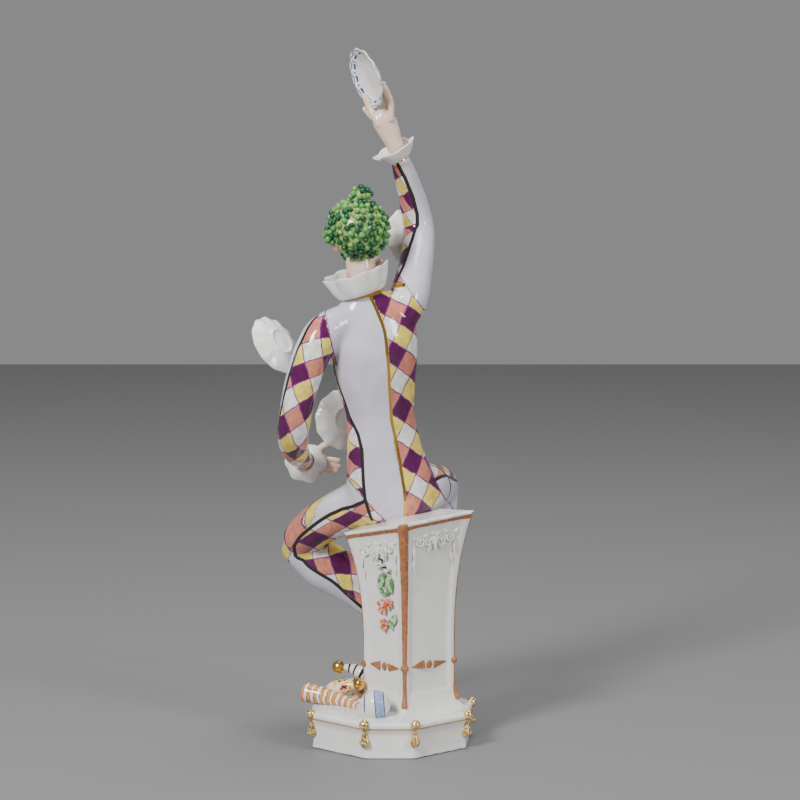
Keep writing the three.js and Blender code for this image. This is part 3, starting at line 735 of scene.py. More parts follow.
bm = bmesh.new()
pebble(bm, (-24, 13, 26), (15, 9, 8), 40)
add_limb(bm, LOW_HORN, UPRIGHT)
add_limb(bm, HIGH_HORN, UPRIGHT)
cap_mesh = remeshed(bm, "fools_cap", 0.8, smooth=3, levels=0)

bm = bmesh.new()
for radius, centre in BELLS:
    pebble(bm, centre, (radius,) * 3, 32)
bells_mesh = finish_bmesh(bm, "bells")

# %% [markdown]
# The suit is painted like a tailored costume. The torso is quartered: two quarters are plain and
# two are harlequin, with a gold line down the back and the front, and a black band down each side.
# Every sleeve and leg has a plain half and a harlequin half with black bands between them. To
# paint all that, each vertex first gets its place on its limb: how far along and at what angle.

# %% Places on a limb
WAY_OUT = 1.5


class Limb:
    """A limb's centreline, with directions and sizes at many places along it."""

    def __init__(self, rows, across, count=160):
        path = smooth_rows(rows, count)
        self.centres = path[:, :3]
        self.half_width, self.half_depth = path[:, 3], path[:, 4]
        self.tangents, self.sides, self.fronts = frames_along(self.centres, across)
        steps = np.linalg.norm(np.diff(self.centres, axis=0), axis=1)
        self.lengths = np.concatenate(([0], np.cumsum(steps)))

    def coordinates(self, points):
        """Along in mm, angle in degrees and height over the skin in mm, for every point."""
        near = np.empty(len(points), int)
        for start in range(0, len(points), 20000):
            part = points[start : start + 20000, None] - self.centres[None]
            near[start : start + 20000] = np.argmin((part**2).sum(-1), axis=1)
        off = points - self.centres[near]
        wide = (off * self.sides[near]).sum(-1) / self.half_width[near]
        deep = (off * self.fronts[near]).sum(-1) / self.half_depth[near]
        along = self.lengths[near] + (off * self.tangents[near]).sum(-1)
        mean = (self.half_width[near] + self.half_depth[near]) / 2
        return along, np.degrees(np.arctan2(deep, wide)), (np.hypot(wide, deep) - 1) * mean

    def on_skin(self, tree, along, angle):
        """The point of a skin that lies at an angle from the centreline, in mm.

        Where the limb is sunk in the body, the way out is long, and there is no such point.
        """
        index = int(np.argmin(abs(self.lengths - along)))
        turn = math.radians(angle)
        way = self.sides[index] * self.half_width[index] * math.cos(turn)
        way = way + self.fronts[index] * self.half_depth[index] * math.sin(turn)
        centre = Vector(self.centres[index] + self.tangents[index] * (along - self.lengths[index]))
        reach = WAY_OUT * max(self.half_width[index], self.half_depth[index])
        return tree.ray_cast(centre, Vector(way).normalized(), reach)[0]


def vertices_mm(mesh):
    """The vertices of a mesh as an array, in mm."""
    places = np.empty(len(mesh.vertices) * 3)
    mesh.vertices.foreach_get("co", places)
    return places.reshape(-1, 3) / MM


def skin_tree(mesh):
    """A search tree over the faces of a mesh, in mm."""
    corners = [tuple(place) for place in vertices_mm(mesh)]
    return BVHTree.FromPolygons(corners, [tuple(face.vertices) for face in mesh.polygons])


def store(mesh, name, *values):
    """Keeps up to three numbers per vertex on a mesh, for its material to read."""
    columns = [np.asarray(value, float) for value in values]
    columns += [np.zeros(len(mesh.vertices))] * (3 - len(columns))
    layer = mesh.attributes.new(name, "FLOAT_VECTOR", "POINT")
    layer.data.foreach_set("vector", np.column_stack(columns).ravel())


# %% [markdown]
# A band follows a limb at an angle that changes along the way. The knots below give it: mm along
# the limb, and degrees around it. A second band lies opposite the first one. The plain half and
# the harlequin half meet in the middle of the bands, so the bands cover the change.

# %% Bands and gold lines
LIMBS = {
    "torso": Limb(TORSO, TORSO_ACROSS),
    "right arm": Limb(RIGHT_ARM, SIDEWAYS),
    "left arm": Limb(LEFT_ARM, SIDEWAYS),
    "left thigh": Limb(LEFT_THIGH, UPRIGHT),
    "left shin": Limb(LEFT_SHIN, UPRIGHT),
    "right thigh": Limb(RIGHT_THIGH, SIDEWAYS),
    "right shin": Limb(RIGHT_SHIN, SIDEWAYS),
}
TORSO_BAND = [(0, -128), (17, -134.6), (46, -133.7), (55, -141), (65, -157.8), (78, -162.6), (91, -172), (112, -176)]
FLANK_BAND = [(0, 14), (30, 20), (112, 20)]
BACK_LINE = [(0, -82), (7.5, -82), (24, -79.8), (37, -75.3), (50, -75.9), (62, -78.8), (91, -79.2), (103, -81.3), (138, -82)]
FRONT_LINE = [(0, 98), (138, 98)]
LIMB_BANDS = {
    "right arm": ([(20, -140), (30, -126), (46, -116), (62, -101), (77, -83.5), (89, -79), (103, -87), (117, -112)], -1),
    "left arm": ([(10, 140), (20, 138), (28, 143), (39, 142), (49, 145), (58, 155), (70, 169), (85, 172), (118, 160)], -1),
    "left thigh": ([(8, -86), (9, -88), (15, -90), (22, -86), (30, -88), (48, -100), (58, -105), (67, -116), (73.3, -145)], -1),
    "left shin": ([(-1.3, 85), (1.1, 100), (4.8, 114), (8.6, 106), (14.3, 112), (29, 115), (42, 123), (68, 121)], -1),
    "right thigh": ([(5, -27), (12, -31), (19, -31), (29, -19), (54, -10)], -1),
    "right shin": ([(2, -10), (90, 0)], -1),
}


def knot_angle(knots, along):
    """The angle of a band at any place along its limb."""
    return np.interp(along, *zip(*knots))


def laid_on_skin(tree, limb, knots, start=None, end=None, opposite=0, step=0.5):
    """Points along a band, every half mm, from one place along the limb to another."""
    start, end = (start or knots[0][0]), (end or knots[-1][0])
    places = np.arange(start, end, step / 2)
    line = []
    for along in places:
        point = limb.on_skin(tree, along, float(knot_angle(knots, along)) + opposite)
        if point and (not line or (point - line[-1]).length > step):
            line.append(point)
    return line


def distance_field(points, line):
    """The distance in mm from every point to the nearest point of a line."""
    finder = KDTree(len(line))
    for index, point in enumerate(line):
        finder.insert(point, index)
    finder.balance()
    return np.array([finder.find(point)[2] for point in points])


# %% [markdown]
# The harlequin cells lie between two sets of slanting lines. Along each set the cells are counted:
# a whole number is a line, and what lies between two whole numbers is inside a cell. The counts
# change evenly over the cloth, so each one needs only a start and its change per mm. On the torso
# and the left thigh they change with the place in space, on the other limbs with along and angle.

# %% Counts of the harlequin cells
SPACE_COUNTS = {
    "torso right": ((11.85, 0.0837, 0.018, -0.0457), (18.28, -0.0369, -0.0284, -0.0742)),
    "torso left": ((15.71, -0.0172, 0.0544, -0.0869), (15.39, -0.0632, -0.1363, -0.09)),
    "left thigh": ((13.77, -0.0405, -0.0213, -0.1006), (21.92, 0.0528, -0.0591, -0.143)),
}
LIMB_COUNTS = {
    "left arm": ((-2.029, 0.0523, 0.0135), (-0.566, 0.0804, -0.0103), -60),
    "left shin": ((0.069, 0.0703, -0.0136), (-0.776, 0.0603, 0.0118), -90),
    "right arm": ((-2.572, 0.0652, 0.0188), (11.592, -0.0855, 0.0059), -270),
    "right thigh": ((3.812, -0.0571, 0.0095), (1.157, 0.0959, 0.0299), -180),
    "right shin": ((0.3, 0.07, 0.0136), (0.4, 0.06, -0.0118), -180),
}


def space_counts(name, points):
    """Both counts at every point, from its place in space."""
    return [start + points @ np.array(change) for start, *change in SPACE_COUNTS[name]]


def limb_counts(name, along, angle):
    """Both counts at every point of a limb. The counting starts again at one angle, out of sight."""
    *both, cut = LIMB_COUNTS[name]
    turned = (angle - cut) % 360 + cut
    return [start + per_mm * along + per_degree * turned for start, per_mm, per_degree in both]


def away_from_plane(points, centre, normal):
    """The signed distance from a plane, in mm."""
    normal = np.array(normal, float)
    return (points - np.array(centre)) @ (normal / np.linalg.norm(normal))


def sine(degrees):
    return np.sin(np.radians(degrees))


# %% Paint places of the suit
SEAM_REACH = {"right arm": 8, "left arm": 5.5, "left thigh": 8, "right thigh": 8}
SEAM_PLANES = {
    "right arm": ((11.5, 0, 264), (0.81, 0, 0.587)),
    "left arm": ((-33.3, 0, 235), (-1, 0, -0.2)),
    "left thigh": ((-13, 0, 141), (-0.73, 0, -0.68)),
    "right thigh": ((23.9, 0, 157.2), (0.91, 0, 0.42)),
}
COLLAR_LINE = ((-16, 0, 262), (-0.2, -0.1, 1))
FAR = 50.0

suit_points = vertices_mm(suit_mesh)
suit_tree = skin_tree(suit_mesh)
on_limb = {name: limb.coordinates(suit_points) for name, limb in LIMBS.items()}
skin_height = {name: values[2] for name, values in on_limb.items()}
skin_height["left thigh"] = np.minimum(skin_height["left thigh"], skin_height["left shin"])
skin_height["right thigh"] = np.minimum(skin_height["right thigh"], skin_height["right shin"])

region = np.full(len(suit_points), "torso", dtype="<U12")
seam = np.full(len(suit_points), FAR)
for name, reach in SEAM_REACH.items():
    beyond = away_from_plane(suit_points, *SEAM_PLANES[name])
    inside = np.minimum(beyond, skin_height["torso"] - skin_height[name] + reach)
    free = region == "torso"
    seam = np.where(free, np.minimum(seam, abs(inside)), seam)
    region[free & (inside > 0)] = name
for side in ("left", "right"):
    thigh, shin = f"{side} thigh", f"{side} shin"
    lower = on_limb[shin][2] < on_limb[thigh][2]
    region[(region == thigh) & lower] = shin

counts = np.zeros((2, len(suit_points)))
along, angle, _ = on_limb["torso"]
right_half = sine(angle + 80) > 0
for name, half in (("torso right", right_half), ("torso left", ~right_half)):
    counts[:, half] = np.array(space_counts(name, suit_points))[:, half]
back = np.where(right_half, -sine(angle - knot_angle(FLANK_BAND, along)), sine(angle - knot_angle(TORSO_BAND, along)))
harlequin = sine(angle + 80) * back
for name, (knots, way) in LIMB_BANDS.items():
    mine = region == name
    along, angle, _ = on_limb[name]
    found = space_counts(name, suit_points) if name in SPACE_COUNTS else limb_counts(name, along, angle)
    counts[:, mine] = np.array(found)[:, mine]
    harlequin[mine] = (way * sine(angle - knot_angle(knots, along)))[mine]

black_line = laid_on_skin(suit_tree, LIMBS["torso"], TORSO_BAND, 4, 100)
black_line += laid_on_skin(suit_tree, LIMBS["torso"], FLANK_BAND, 4, 100)
for name, (knots, way) in LIMB_BANDS.items():
    for opposite in (0, 180):
        black_line += laid_on_skin(suit_tree, LIMBS[name], knots, opposite=opposite)
gold_line = laid_on_skin(suit_tree, LIMBS["torso"], BACK_LINE, 1)
gold_line += laid_on_skin(suit_tree, LIMBS["torso"], FRONT_LINE, 1)
black = distance_field(suit_points, black_line)
gold_far = distance_field(suit_points, gold_line)
for name, place in (("right arm", 114), ("left arm", 118)):
    ring = abs(on_limb[name][0] - place)
    gold_far = np.where(region == name, np.minimum(gold_far, ring), gold_far)
neck = region == "torso"
neck &= suit_points[:, 2] > 250
gold_far = np.where(neck, np.minimum(gold_far, abs(away_from_plane(suit_points, *COLLAR_LINE))), gold_far)
store(suit_mesh, "cells", counts[0], counts[1], harlequin)
store(suit_mesh, "lines", black, gold_far, seam)
print("suit regions:", {str(name): int((region == name).sum()) for name in np.unique(region)})

# %% [markdown]
# The other pieces store their paint places too: how far a point of the pedestal is from the edges
# with brown paint, how far a point of a saucer is from its axis, and where a point lies on the head.

# %% Paint places of the pedestal and the saucers
FRONT_RIB_HALF = [(0, 1.4), (0.24, 1.7), (0.6, 2.6), (0.98, 4.0)]
SIDE_RIB_HALF = [(0, 0.9), (1, 1.2)]
TOP_EDGE_LEVEL, TOP_EDGE_HALF = 0.972, 1.35
RIM_LINE_HEIGHT = 17.3


def corner_line(index, start=0.06, end=0.985, count=240):
    levels = np.linspace(start, end, count)
    return levels, [pedestal_corner(index, level, 0.2) for level in levels]


pedestal_points = vertices_mm(pedestal_mesh)
brown_edge = np.full(len(pedestal_points), FAR)
for corner in range(4):
    levels, line = corner_line(corner)
    halves = np.interp(levels, *zip(*(FRONT_RIB_HALF if corner == 0 else SIDE_RIB_HALF)))
    finder = KDTree(len(line))
    for index, point in enumerate(line):
        finder.insert(point, index)
    finder.balance()
    found = [finder.find(point) for point in pedestal_points]
    spread = np.array([distance - halves[index] for _, index, distance in found])
    brown_edge = np.minimum(brown_edge, spread)
top_line = [
    pedestal_corner(corner, TOP_EDGE_LEVEL, 0).lerp(pedestal_corner(corner + 1, TOP_EDGE_LEVEL, 0), share)
    for corner in range(4) for share in np.linspace(0, 1, 110)
]
brown_edge = np.minimum(brown_edge, distance_field(pedestal_points, top_line) - TOP_EDGE_HALF)
from_axis = np.hypot(pedestal_points[:, 0], pedestal_points[:, 1])
rim_line = np.where(from_axis > 44, abs(pedestal_points[:, 2] - RIM_LINE_HEIGHT), FAR)
# The dark line along the very foot of the base is a painted reflection of the glaze edge. This column keeps each
# point's height over the floor for it.
foot_reflection = np.where(from_axis > 44, pedestal_points[:, 2], FAR)
store(pedestal_mesh, "trim_and_reflection", brown_edge, rim_line, foot_reflection)

for mesh, (centre, underside) in zip(saucer_meshes, SAUCER_PLACES):
    turn = Vector((0, 0, -1)).rotation_difference(Vector(underside)).to_matrix()
    local = (vertices_mm(mesh) - np.array(centre)) @ np.array(turn)
    normals = np.empty(len(mesh.vertices) * 3)
    mesh.vertices.foreach_get("normal", normals)
    opening = normals.reshape(-1, 3) @ np.array(turn)[:, 2]
    bearing = np.arctan2(local[:, 1], local[:, 0])
    store(mesh, "rim", np.hypot(local[:, 0], local[:, 1]), np.cos(SAUCER_LOBES * bearing), opening)

to_head = np.array(HEAD_PLACE.inverted())
store(head_mesh, "face", *((vertices_mm(head_mesh) @ to_head[:3, :3].T + to_head[:3, 3]).T))
club_along, _, _ = Limb(CLUB, UPRIGHT).coordinates(vertices_mm(club_mesh))
store(club_mesh, "along", club_along)
ball_points = vertices_mm(ball_mesh) - np.array(BALL_CENTRE)
store(ball_mesh, "across", ball_points[:, 0], ball_points[:, 1], ball_points[:, 2])
cap_points = vertices_mm(cap_mesh)
low_along, _, low_high = Limb(LOW_HORN, UPRIGHT).coordinates(cap_points)
high_along, _, high_high = Limb(HIGH_HORN, UPRIGHT).coordinates(cap_points)
store(cap_mesh, "horns", low_along, high_along, low_high - high_high)

# %% [markdown]
# Every surface is glazed porcelain. Under the glaze lies thin paint that is never quite even: a
# brush leaves it lighter and darker. Small node helpers build that. A material starts from a
# colour, is made uneven by noise, and ends in a glossy surface with a faint uneven glaze.

# %% Node helpers
class Brush:
    """Adds nodes to one material, and links them."""

    def __init__(self, name):
        self.material = bpy.data.materials.new(name)
        self.material.use_nodes = True
        self.tree = self.material.node_tree
        self.shader = self.tree.nodes["Principled BSDF"]

    def node(self, kind, **settings):
        made = self.tree.nodes.new(kind)
        for key, value in settings.items():
            setattr(made, key, value)
        return made

    def put(self, socket, value):
        """Links an output to a socket, or writes a number or a colour into it."""
        if isinstance(value, bpy.types.NodeSocket):
            self.tree.links.new(value, socket)
        elif hasattr(socket.default_value, "__len__") and len(socket.default_value) == 4:
            socket.default_value = (*value, 1) if len(value) == 3 else value
        else:
            socket.default_value = value

    def math(self, operation, *values, clamp=False):
        made = self.node("ShaderNodeMath", operation=operation, use_clamp=clamp)
        for socket, value in zip(made.inputs, values):
            self.put(socket, value)
        return made.outputs[0]

    def mix(self, share, first, second):
        """The first colour where share is 0, the second one where it is 1."""
        made = self.node("ShaderNodeMix", data_type="RGBA")
        for socket, value in zip((made.inputs[0], made.inputs[6], made.inputs[7]), (share, first, second)):
            self.put(socket, value)
        return made.outputs[2]

    def place(self):
        return self.node("ShaderNodeTexCoord").outputs["Object"]

    def noise(self, size_mm, detail=3.0, low=0.0, high=1.0):
        """Cloudy noise of a grain in mm, as a number between low and high."""
        made = self.node("ShaderNodeTexNoise")
        self.put(made.inputs["Vector"], self.place())
        made.inputs["Scale"].default_value = 1 / (size_mm * MM)
        made.inputs["Detail"].default_value = detail
        ranged = self.node("ShaderNodeMapRange")
        for socket, value in zip(ranged.inputs[:5], (made.outputs["Fac"], 0.3, 0.7, low, high)):
            self.put(socket, value)
        return ranged.outputs[0]

    def stored(self, name):
        """The three numbers per vertex that were kept under a name."""
        made = self.node("ShaderNodeAttribute", attribute_name=name)
        split = self.node("ShaderNodeSeparateXYZ")
        self.put(split.inputs[0], made.outputs["Vector"])
        return split.outputs

    def within(self, value, limit, soft=0.12):
        """1 where value is below limit, 0 above it, with a thin soft edge."""
        ranged = self.node("ShaderNodeMapRange", interpolation_type="SMOOTHSTEP")
        for socket, number in zip(ranged.inputs[:5], (value, limit - soft, limit + soft, 1.0, 0.0)):
            self.put(socket, number)
        return ranged.outputs[0]

    def uneven(self, colour, depth=0.16, size_mm=6.0):
        """A colour with the lighter and darker places that a brush leaves."""
        tone = self.noise(size_mm, 5.0, 1 - depth, 1 + depth / 3)
        made = self.node("ShaderNodeVectorMath", operation="SCALE")
        self.put(made.inputs[0], colour)
        self.put(made.inputs["Scale"], tone)
        return made.outputs[0]

    def surface(self, colour, roughness=(0.05, 0.13), metal=0.0, bump=0.12, grain_mm=2.5):
        """Ends the material: a glossy glaze that is a little uneven."""
        self.put(self.shader.inputs["Base Color"], colour)
        self.put(self.shader.inputs["Metallic"], metal)
        self.put(self.shader.inputs["Roughness"], self.noise(9.0, 4.0, *roughness))
        relief = self.node("ShaderNodeBump")
        relief.inputs["Strength"].default_value = bump
        relief.inputs["Distance"].default_value = 0.3 * MM
        self.put(relief.inputs["Height"], self.noise(grain_mm, 2.0))
        self.put(self.shader.inputs["Normal"], relief.outputs["Normal"])
        return self.material


WHITE = (0.83, 0.82, 0.79)
LAVENDER = (0.62, 0.59, 0.67)
PURPLE = (0.1, 0.008, 0.075)
YELLOW = (0.84, 0.66, 0.13)
PINK = (0.64, 0.23, 0.16)
BLACK = (0.022, 0.018, 0.018)
GOLD = (0.83, 0.5, 0.1)
SEAM_COLOUR = (0.16, 0.03, 0.16)

# %% Suit paint
BAND_HALF, GOLD_HALF, SEAM_HALF, CELL_LINE = 1.1, 0.95, 0.35, 0.03


def suit_paint():
    brush = Brush("harlequin_suit")
    first, second, side = brush.stored("cells")
    black, gold, seam = brush.stored("lines")
    wander = brush.noise(5.0, 2.0, -0.035, 0.035)
    first, second = (brush.math("ADD", count, wander) for count in (first, second))
    odd = [brush.math("FLOORED_MODULO", brush.math("FLOOR", count), 2.0) for count in (first, second)]
    light = brush.mix(odd[0], WHITE, YELLOW)
    dark = brush.mix(odd[0], PINK, PURPLE)
    cells = brush.uneven(brush.mix(odd[1], light, dark), 0.28, 4.0)
    nearest = None
    for count in (first, second):
        part = brush.math("FRACT", count)
        edge = brush.math("MINIMUM", part, brush.math("SUBTRACT", 1.0, part))
        nearest = edge if nearest is None else brush.math("MINIMUM", nearest, edge)
    cells = brush.mix(brush.within(nearest, CELL_LINE, 0.012), cells, SEAM_COLOUR)
    plain = brush.uneven(LAVENDER, 0.12, 12.0)
    colour = brush.mix(brush.within(side, 0.0, 0.02), cells, plain)
    colour = brush.mix(brush.within(seam, SEAM_HALF), colour, SEAM_COLOUR)
    colour = brush.mix(brush.within(black, BAND_HALF), colour, BLACK)
    gilded = brush.within(gold, GOLD_HALF)
    colour = brush.mix(gilded, colour, GOLD)
    return brush.surface(colour, metal=gilded)


# %% Plain glazes and gold
BROWN = (0.42, 0.17, 0.07)
BLUE = (0.03, 0.05, 0.33)
SKIN = (0.8, 0.62, 0.5)
BLUSH = (0.72, 0.26, 0.13)
LEAF = (0.09, 0.32, 0.08)
DARK_LEAF = (0.01, 0.09, 0.04)
PALE_LEAF = (0.22, 0.45, 0.13)
ORANGE = (0.74, 0.2, 0.05)
RED = (0.55, 0.06, 0.02)


def white_glaze(name="white_glaze"):
    brush = Brush(name)
    return brush.surface(brush.uneven(WHITE, 0.07, 14.0))


def painted(name, colour, depth=0.3, size_mm=3.0):
    brush = Brush(name)
    return brush.surface(brush.uneven(colour, depth, size_mm))


def bright_gold(name="bright_gold"):
    """Polished gold, worn through to a browner tone where hands rub it."""
    brush = Brush(name)
    worn = brush.noise(1.6, 5.0, -0.6, 1.0)
    colour = brush.mix(brush.math("MAXIMUM", worn, 0.0), GOLD, (0.5, 0.27, 0.07))
    return brush.surface(colour, roughness=(0.12, 0.3), metal=1.0, bump=0.2, grain_mm=1.2)


def tassel_gold():
    """Gilding that has gone from the high places of the tassels, down to the white glaze."""
    brush = Brush("rubbed_gold")
    gone = brush.within(brush.noise(1.3, 4.0), 0.42, 0.1)
    colour = brush.mix(gone, GOLD, (0.66, 0.58, 0.4))
    return brush.surface(colour, roughness=(0.14, 0.34), metal=brush.math("SUBTRACT", 1.0, gone))


# %% Pedestal paint
def pedestal_paint():
    brush = Brush("pedestal_paint")
    brown, rim, foot = brush.stored("trim_and_reflection")
    colour = brush.uneven(WHITE, 0.07, 16.0)
    wander = brush.noise(5.0, 2.0, -0.15, 0.15)
    edge = brush.within(brush.math("ADD", brown, wander), 0.0, 0.15)
    colour = brush.mix(edge, colour, brush.uneven(BROWN, 0.4, 2.2))
    colour = brush.mix(brush.within(rim, 0.5), colour, brush.uneven((0.62, 0.34, 0.1), 0.35, 5.0))
    # Painted reflection: a dark purple-grey line along the very foot of the base.
    colour = brush.mix(brush.within(foot, 0.55), colour, (0.2, 0.13, 0.17))
    return brush.surface(colour)


def saucer_paint():
    """White with a blue line inside the rim, and dashes and dots inside the line."""
    brush = Brush("saucer_glaze")
    radius, lobes, opening = brush.stored("rim")
    inside = brush.math("GREATER_THAN", opening, 0.2)
    wander = brush.math("MULTIPLY_ADD", lobes, 0.35, radius)
    line = brush.within(brush.math("ABSOLUTE", brush.math("SUBTRACT", wander, 16.9)), 0.26, 0.1)
    ring = brush.within(brush.math("ABSOLUTE", brush.math("SUBTRACT", radius, 14.7)), 0.62, 0.15)
    dash = brush.math("MULTIPLY", ring, brush.math("GREATER_THAN", lobes, 0.1))
    dots = brush.math("MULTIPLY", ring, brush.math("LESS_THAN", lobes, -0.86))
    marks = brush.math("MAXIMUM", line, brush.math("MAXIMUM", dash, dots))
    marks = brush.math("MULTIPLY", marks, inside)
    colour = brush.mix(marks, brush.uneven(WHITE, 0.07, 10.0), brush.uneven(BLUE, 0.4, 2.0))
    return brush.surface(colour)


# %% Skin and face
EYE, LIPS, CHEEK = (5.4, 0.2), (0.0, -10.6), (8.6, -5.2)


def skin_glaze(name):
    brush = Brush(name)
    warm = brush.noise(9.0, 2.0, 0.0, 0.3)
    return brush, brush.mix(warm, SKIN, (0.78, 0.5, 0.37))


def face_paint():
    """Eyes, brows, lips and cheeks, painted with a fine brush in the frame of the head."""
    brush, colour = skin_glaze("face_paint")
    x, y, z = brush.stored("face")
    side = brush.math("ABSOLUTE", x)
    front = brush.math("GREATER_THAN", y, 10.0)

    def spot(centre, wide, high, soft=0.12):
        """1 inside an oval around a place of the face."""
        across = brush.math("DIVIDE", brush.math("SUBTRACT", side, centre[0]), wide)
        up = brush.math("DIVIDE", brush.math("SUBTRACT", z, centre[1]), high)
        both = brush.math("ADD", brush.math("POWER", across, 2.0), brush.math("POWER", up, 2.0))
        return brush.math("MULTIPLY", brush.within(brush.math("SQRT", both), 1.0, soft), front)

    def painted_spot(below, share, over):
        return brush.mix(share, below, over)

    colour = painted_spot(colour, brush.math("MULTIPLY", spot(CHEEK, 4.2, 3.4, 0.9), 0.35), BLUSH)
    colour = painted_spot(colour, spot((EYE[0], EYE[1] + 0.35), 2.9, 1.75), (0.12, 0.05, 0.03))
    colour = painted_spot(colour, spot((EYE[0], EYE[1] - 0.1), 2.6, 1.4), WHITE)
    colour = painted_spot(colour, spot(EYE, 1.1, 1.2), (0.12, 0.07, 0.03))
    brow = brush.math("SUBTRACT", spot((5.6, 3.4), 3.4, 1.9), spot((5.6, 2.6), 3.9, 1.9))
    colour = painted_spot(colour, brush.math("MAXIMUM", brow, 0.0), (0.1, 0.2, 0.06))
    colour = painted_spot(colour, spot(LIPS, 3.6, 1.7), (0.6, 0.1, 0.07))
    ear = brush.math("GREATER_THAN", side, 15.3)
    colour = painted_spot(colour, brush.math("MULTIPLY", ear, 0.6), BLUSH)
    return brush.surface(colour)


def hand_paint():
    brush, colour = skin_glaze("hand_paint")
    return brush.surface(colour)


# %% Hair paint
def hair_cap_paint():
    """Yellow-green glaze with dark wavy strokes of the brush."""
    brush = Brush("hair_cap_paint")
    wave = brush.node("ShaderNodeTexWave", wave_type="BANDS", bands_direction="DIAGONAL")
    brush.put(wave.inputs["Vector"], brush.place())
    wave.inputs["Scale"].default_value = 95.0
    wave.inputs["Distortion"].default_value = 9.0
    wave.inputs["Detail"].default_value = 2.0
    wave.inputs["Detail Scale"].default_value = 1.6
    stroke = brush.within(wave.outputs["Fac"], 0.3, 0.12)
    pale = brush.uneven((0.42, 0.5, 0.14), 0.3, 4.0)
    return brush.surface(brush.mix(stroke, pale, brush.uneven(LEAF, 0.4, 3.0)), bump=0.35)


def bead_paint():
    """Every bead is one of two greens, with its own strength of colour."""
    brush = Brush("hair_bead_paint")
    own = brush.node("ShaderNodeNewGeometry").outputs["Random Per Island"]
    dark = brush.math("GREATER_THAN", own, 0.55)
    pale = brush.mix(brush.math("FRACT", brush.math("MULTIPLY", own, 17.0)), PALE_LEAF, LEAF)
    return brush.surface(brush.uneven(brush.mix(dark, pale, DARK_LEAF), 0.25, 2.0), (0.06, 0.12))


# %% Spray and prop paint
def bow_paint():
    brush = Brush("bow_paint")
    shade = brush.within(brush.noise(3.2, 2.0), 0.45, 0.05)
    return brush.surface(brush.mix(shade, WHITE, (0.02, 0.03, 0.03)))


def leaf_paint():
    brush = Brush("leaf_paint")
    # The paler green patches are painted highlights, spread over the leaves by noise.
    light = brush.within(brush.noise(3.4, 3.0), 0.46, 0.1)
    colour = brush.mix(light, (0.5, 0.66, 0.42), LEAF)
    return brush.surface(brush.uneven(colour, 0.35, 1.6))


def blossom_paint():
    brush = Brush("blossom_paint")
    stroke = brush.within(brush.noise(1.9, 4.0), 0.56, 0.08)
    return brush.surface(brush.mix(stroke, (0.76, 0.55, 0.44), brush.mix(brush.noise(3.0), ORANGE, RED)))


def ball_paint():
    """A white ball with a blue band between two dark lines."""
    brush = Brush("play_ball_paint")
    x, y, z = brush.stored("across")
    off = brush.math("ABSOLUTE", brush.math("SUBTRACT", brush.math("MULTIPLY_ADD", z, 0.08, x), 2.2))
    colour = brush.uneven(WHITE, 0.08, 8.0)
    colour = brush.mix(brush.within(off, 2.9), colour, (0.04, 0.05, 0.12))
    colour = brush.mix(brush.within(off, 2.4), colour, brush.uneven((0.33, 0.42, 0.7), 0.3, 2.0))
    colour = brush.mix(brush.within(brush.math("ABSOLUTE", brush.math("ADD", x, 6.6)), 0.35), colour, BLUE)
    return brush.surface(colour)


def club_paint():
    """Rings in orange, gold and brown, with an orange end and a white grip."""
    brush = Brush("club_paint")
    along = brush.stored("along")[0]
    lean = brush.math("ADD", along, brush.noise(4.0, 2.0, -0.5, 0.5))
    step = brush.math("FLOORED_MODULO", lean, 4.2)
    colour = brush.uneven(WHITE, 0.1, 5.0)
    colour = brush.mix(brush.within(step, 1.1), colour, ORANGE)
    colour = brush.mix(brush.math("GREATER_THAN", step, 2.7), colour, brush.uneven(BROWN, 0.4, 2.0))
    colour = brush.mix(brush.math("GREATER_THAN", step, 3.5), colour, (0.6, 0.38, 0.1))
    grip = brush.math("GREATER_THAN", along, 41.0)
    return brush.surface(brush.mix(grip, colour, brush.uneven(WHITE, 0.1, 5.0)))


def cap_paint():
    """One horn has dark stripes, the other one has dashes in the colours of the suit."""
    brush = Brush("fools_cap_paint")
    low, high, nearer = brush.stored("horns")
    white = brush.uneven(WHITE, 0.1, 6.0)
    stripe = brush.math("LESS_THAN", brush.math("FLOORED_MODULO", high, 4.0), 1.2)
    striped = brush.mix(stripe, white, BLACK)
    patch = brush.noise(3.0, 1.0)
    dashes = brush.mix(brush.within(patch, 0.6, 0.03), white, YELLOW)
    dashes = brush.mix(brush.within(patch, 0.42, 0.03), dashes, ORANGE)
    dashes = brush.mix(brush.within(patch, 0.28, 0.03), dashes, PURPLE)
    upper = brush.math("GREATER_THAN", nearer, 0.0)
    return brush.surface(brush.mix(upper, dashes, striped))


# %% Pieces
white = white_glaze()
gold = bright_gold()
brown = painted("brown_paint", BROWN)
suit = add_piece("suit", suit_mesh, suit_paint())
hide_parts(NODE)
add_piece("slippers", slippers_mesh, painted("slipper_paint", PURPLE))
hand_material = hand_paint()
add_piece("right_hand", right_hand_mesh, hand_material)
add_piece("left_hand", left_hand_mesh, hand_material)
add_piece("head", head_mesh, face_paint())
add_piece("hair_cap", hair_mesh, hair_cap_paint())
add_piece("hair_beads", beads_mesh, bead_paint())
add_piece("collar", collar_mesh, white)
add_piece("right_cuff", right_cuff_mesh, white)
add_piece("left_cuff", left_cuff_mesh, white)
saucer_material = saucer_paint()
for mesh in saucer_meshes:
    add_piece(mesh.name, mesh, saucer_material)
add_piece("pedestal", pedestal_mesh, pedestal_paint())
add_piece("garland", relief_mesh, white)
add_piece("band_of_darts", bands_mesh, brown)
add_piece("ribbon_bow", bow_mesh, bow_paint())
add_piece("spray_leaves", leaves_mesh, leaf_paint())
add_piece("blossoms", blossoms_mesh, blossom_paint())
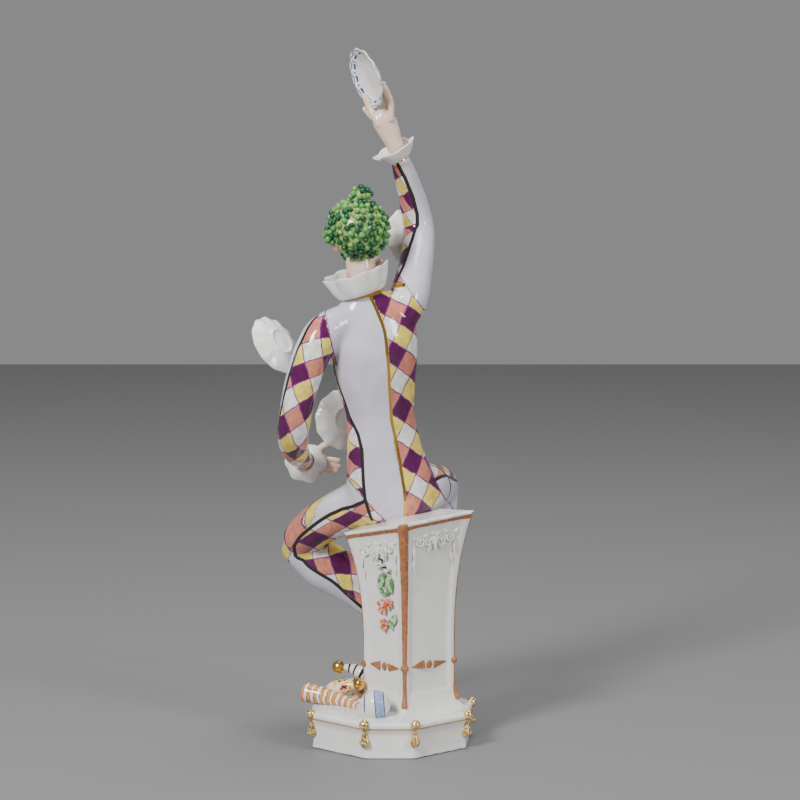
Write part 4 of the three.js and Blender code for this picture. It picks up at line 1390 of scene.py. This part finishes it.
add_piece("balls_and_tassels", tassels_mesh, tassel_gold())
add_piece("play_ball", ball_mesh, ball_paint())
add_piece("club", club_mesh, club_paint())
add_piece("fools_cap", cap_mesh, cap_paint())
add_piece("bells", bells_mesh, gold)

# %% Floor, light and camera
floor_bm = bmesh.new()
bmesh.ops.create_grid(floor_bm, x_segments=1, y_segments=1, size=2000)
floor_mesh = finish_bmesh(floor_bm, "floor")
floor = bpy.data.objects.new("floor", floor_mesh)
bpy.context.scene.collection.objects.link(floor)
floor_material = bpy.data.materials.new("pale_floor")
floor_material.use_nodes = True
floor_material.node_tree.nodes["Principled BSDF"].inputs["Base Color"].default_value = (0.2, 0.2, 0.2, 1)
floor_material.node_tree.nodes["Principled BSDF"].inputs["Roughness"].default_value = 0.6
floor_mesh.materials.append(floor_material)


def softbox(name, place, target, size, power):
    light = bpy.data.lights.new(name, "AREA")
    light.shape = "RECTANGLE"
    light.size, light.size_y = size
    light.energy = power
    lamp = bpy.data.objects.new(name, light)
    bpy.context.scene.collection.objects.link(lamp)
    lamp.location = place
    lamp.rotation_euler = (Vector(target) - Vector(place)).to_track_quat("-Z", "Y").to_euler()


softbox("key_light", (-0.9, -1.3, 1.3), (0, 0, 0.2), (0.4, 0.6), 46)
softbox("fill_light", (1.4, -1.1, 0.9), (0, 0, 0.2), (0.3, 0.7), 17)
softbox("top_light", (0.1, 0.3, 1.7), (0, 0, 0.2), (0.8, 0.8), 17)

world = bpy.data.worlds.new("studio")
bpy.context.scene.world = world
world.use_nodes = True
world.node_tree.nodes["Background"].inputs["Color"].default_value = (0.5, 0.5, 0.515, 1)
world.node_tree.nodes["Background"].inputs["Strength"].default_value = 0.52

camera_data = bpy.data.cameras.new("camera")
camera_data.lens, camera_data.sensor_width = 135, 36
camera = bpy.data.objects.new("camera", camera_data)
bpy.context.scene.collection.objects.link(camera)
camera.location = (0.0058, -1.7211, 0.4121)
camera.rotation_euler = (math.radians(83), 0, 0)
bpy.context.scene.camera = camera

# %% Update the view layer
bpy.context.view_layer.update()
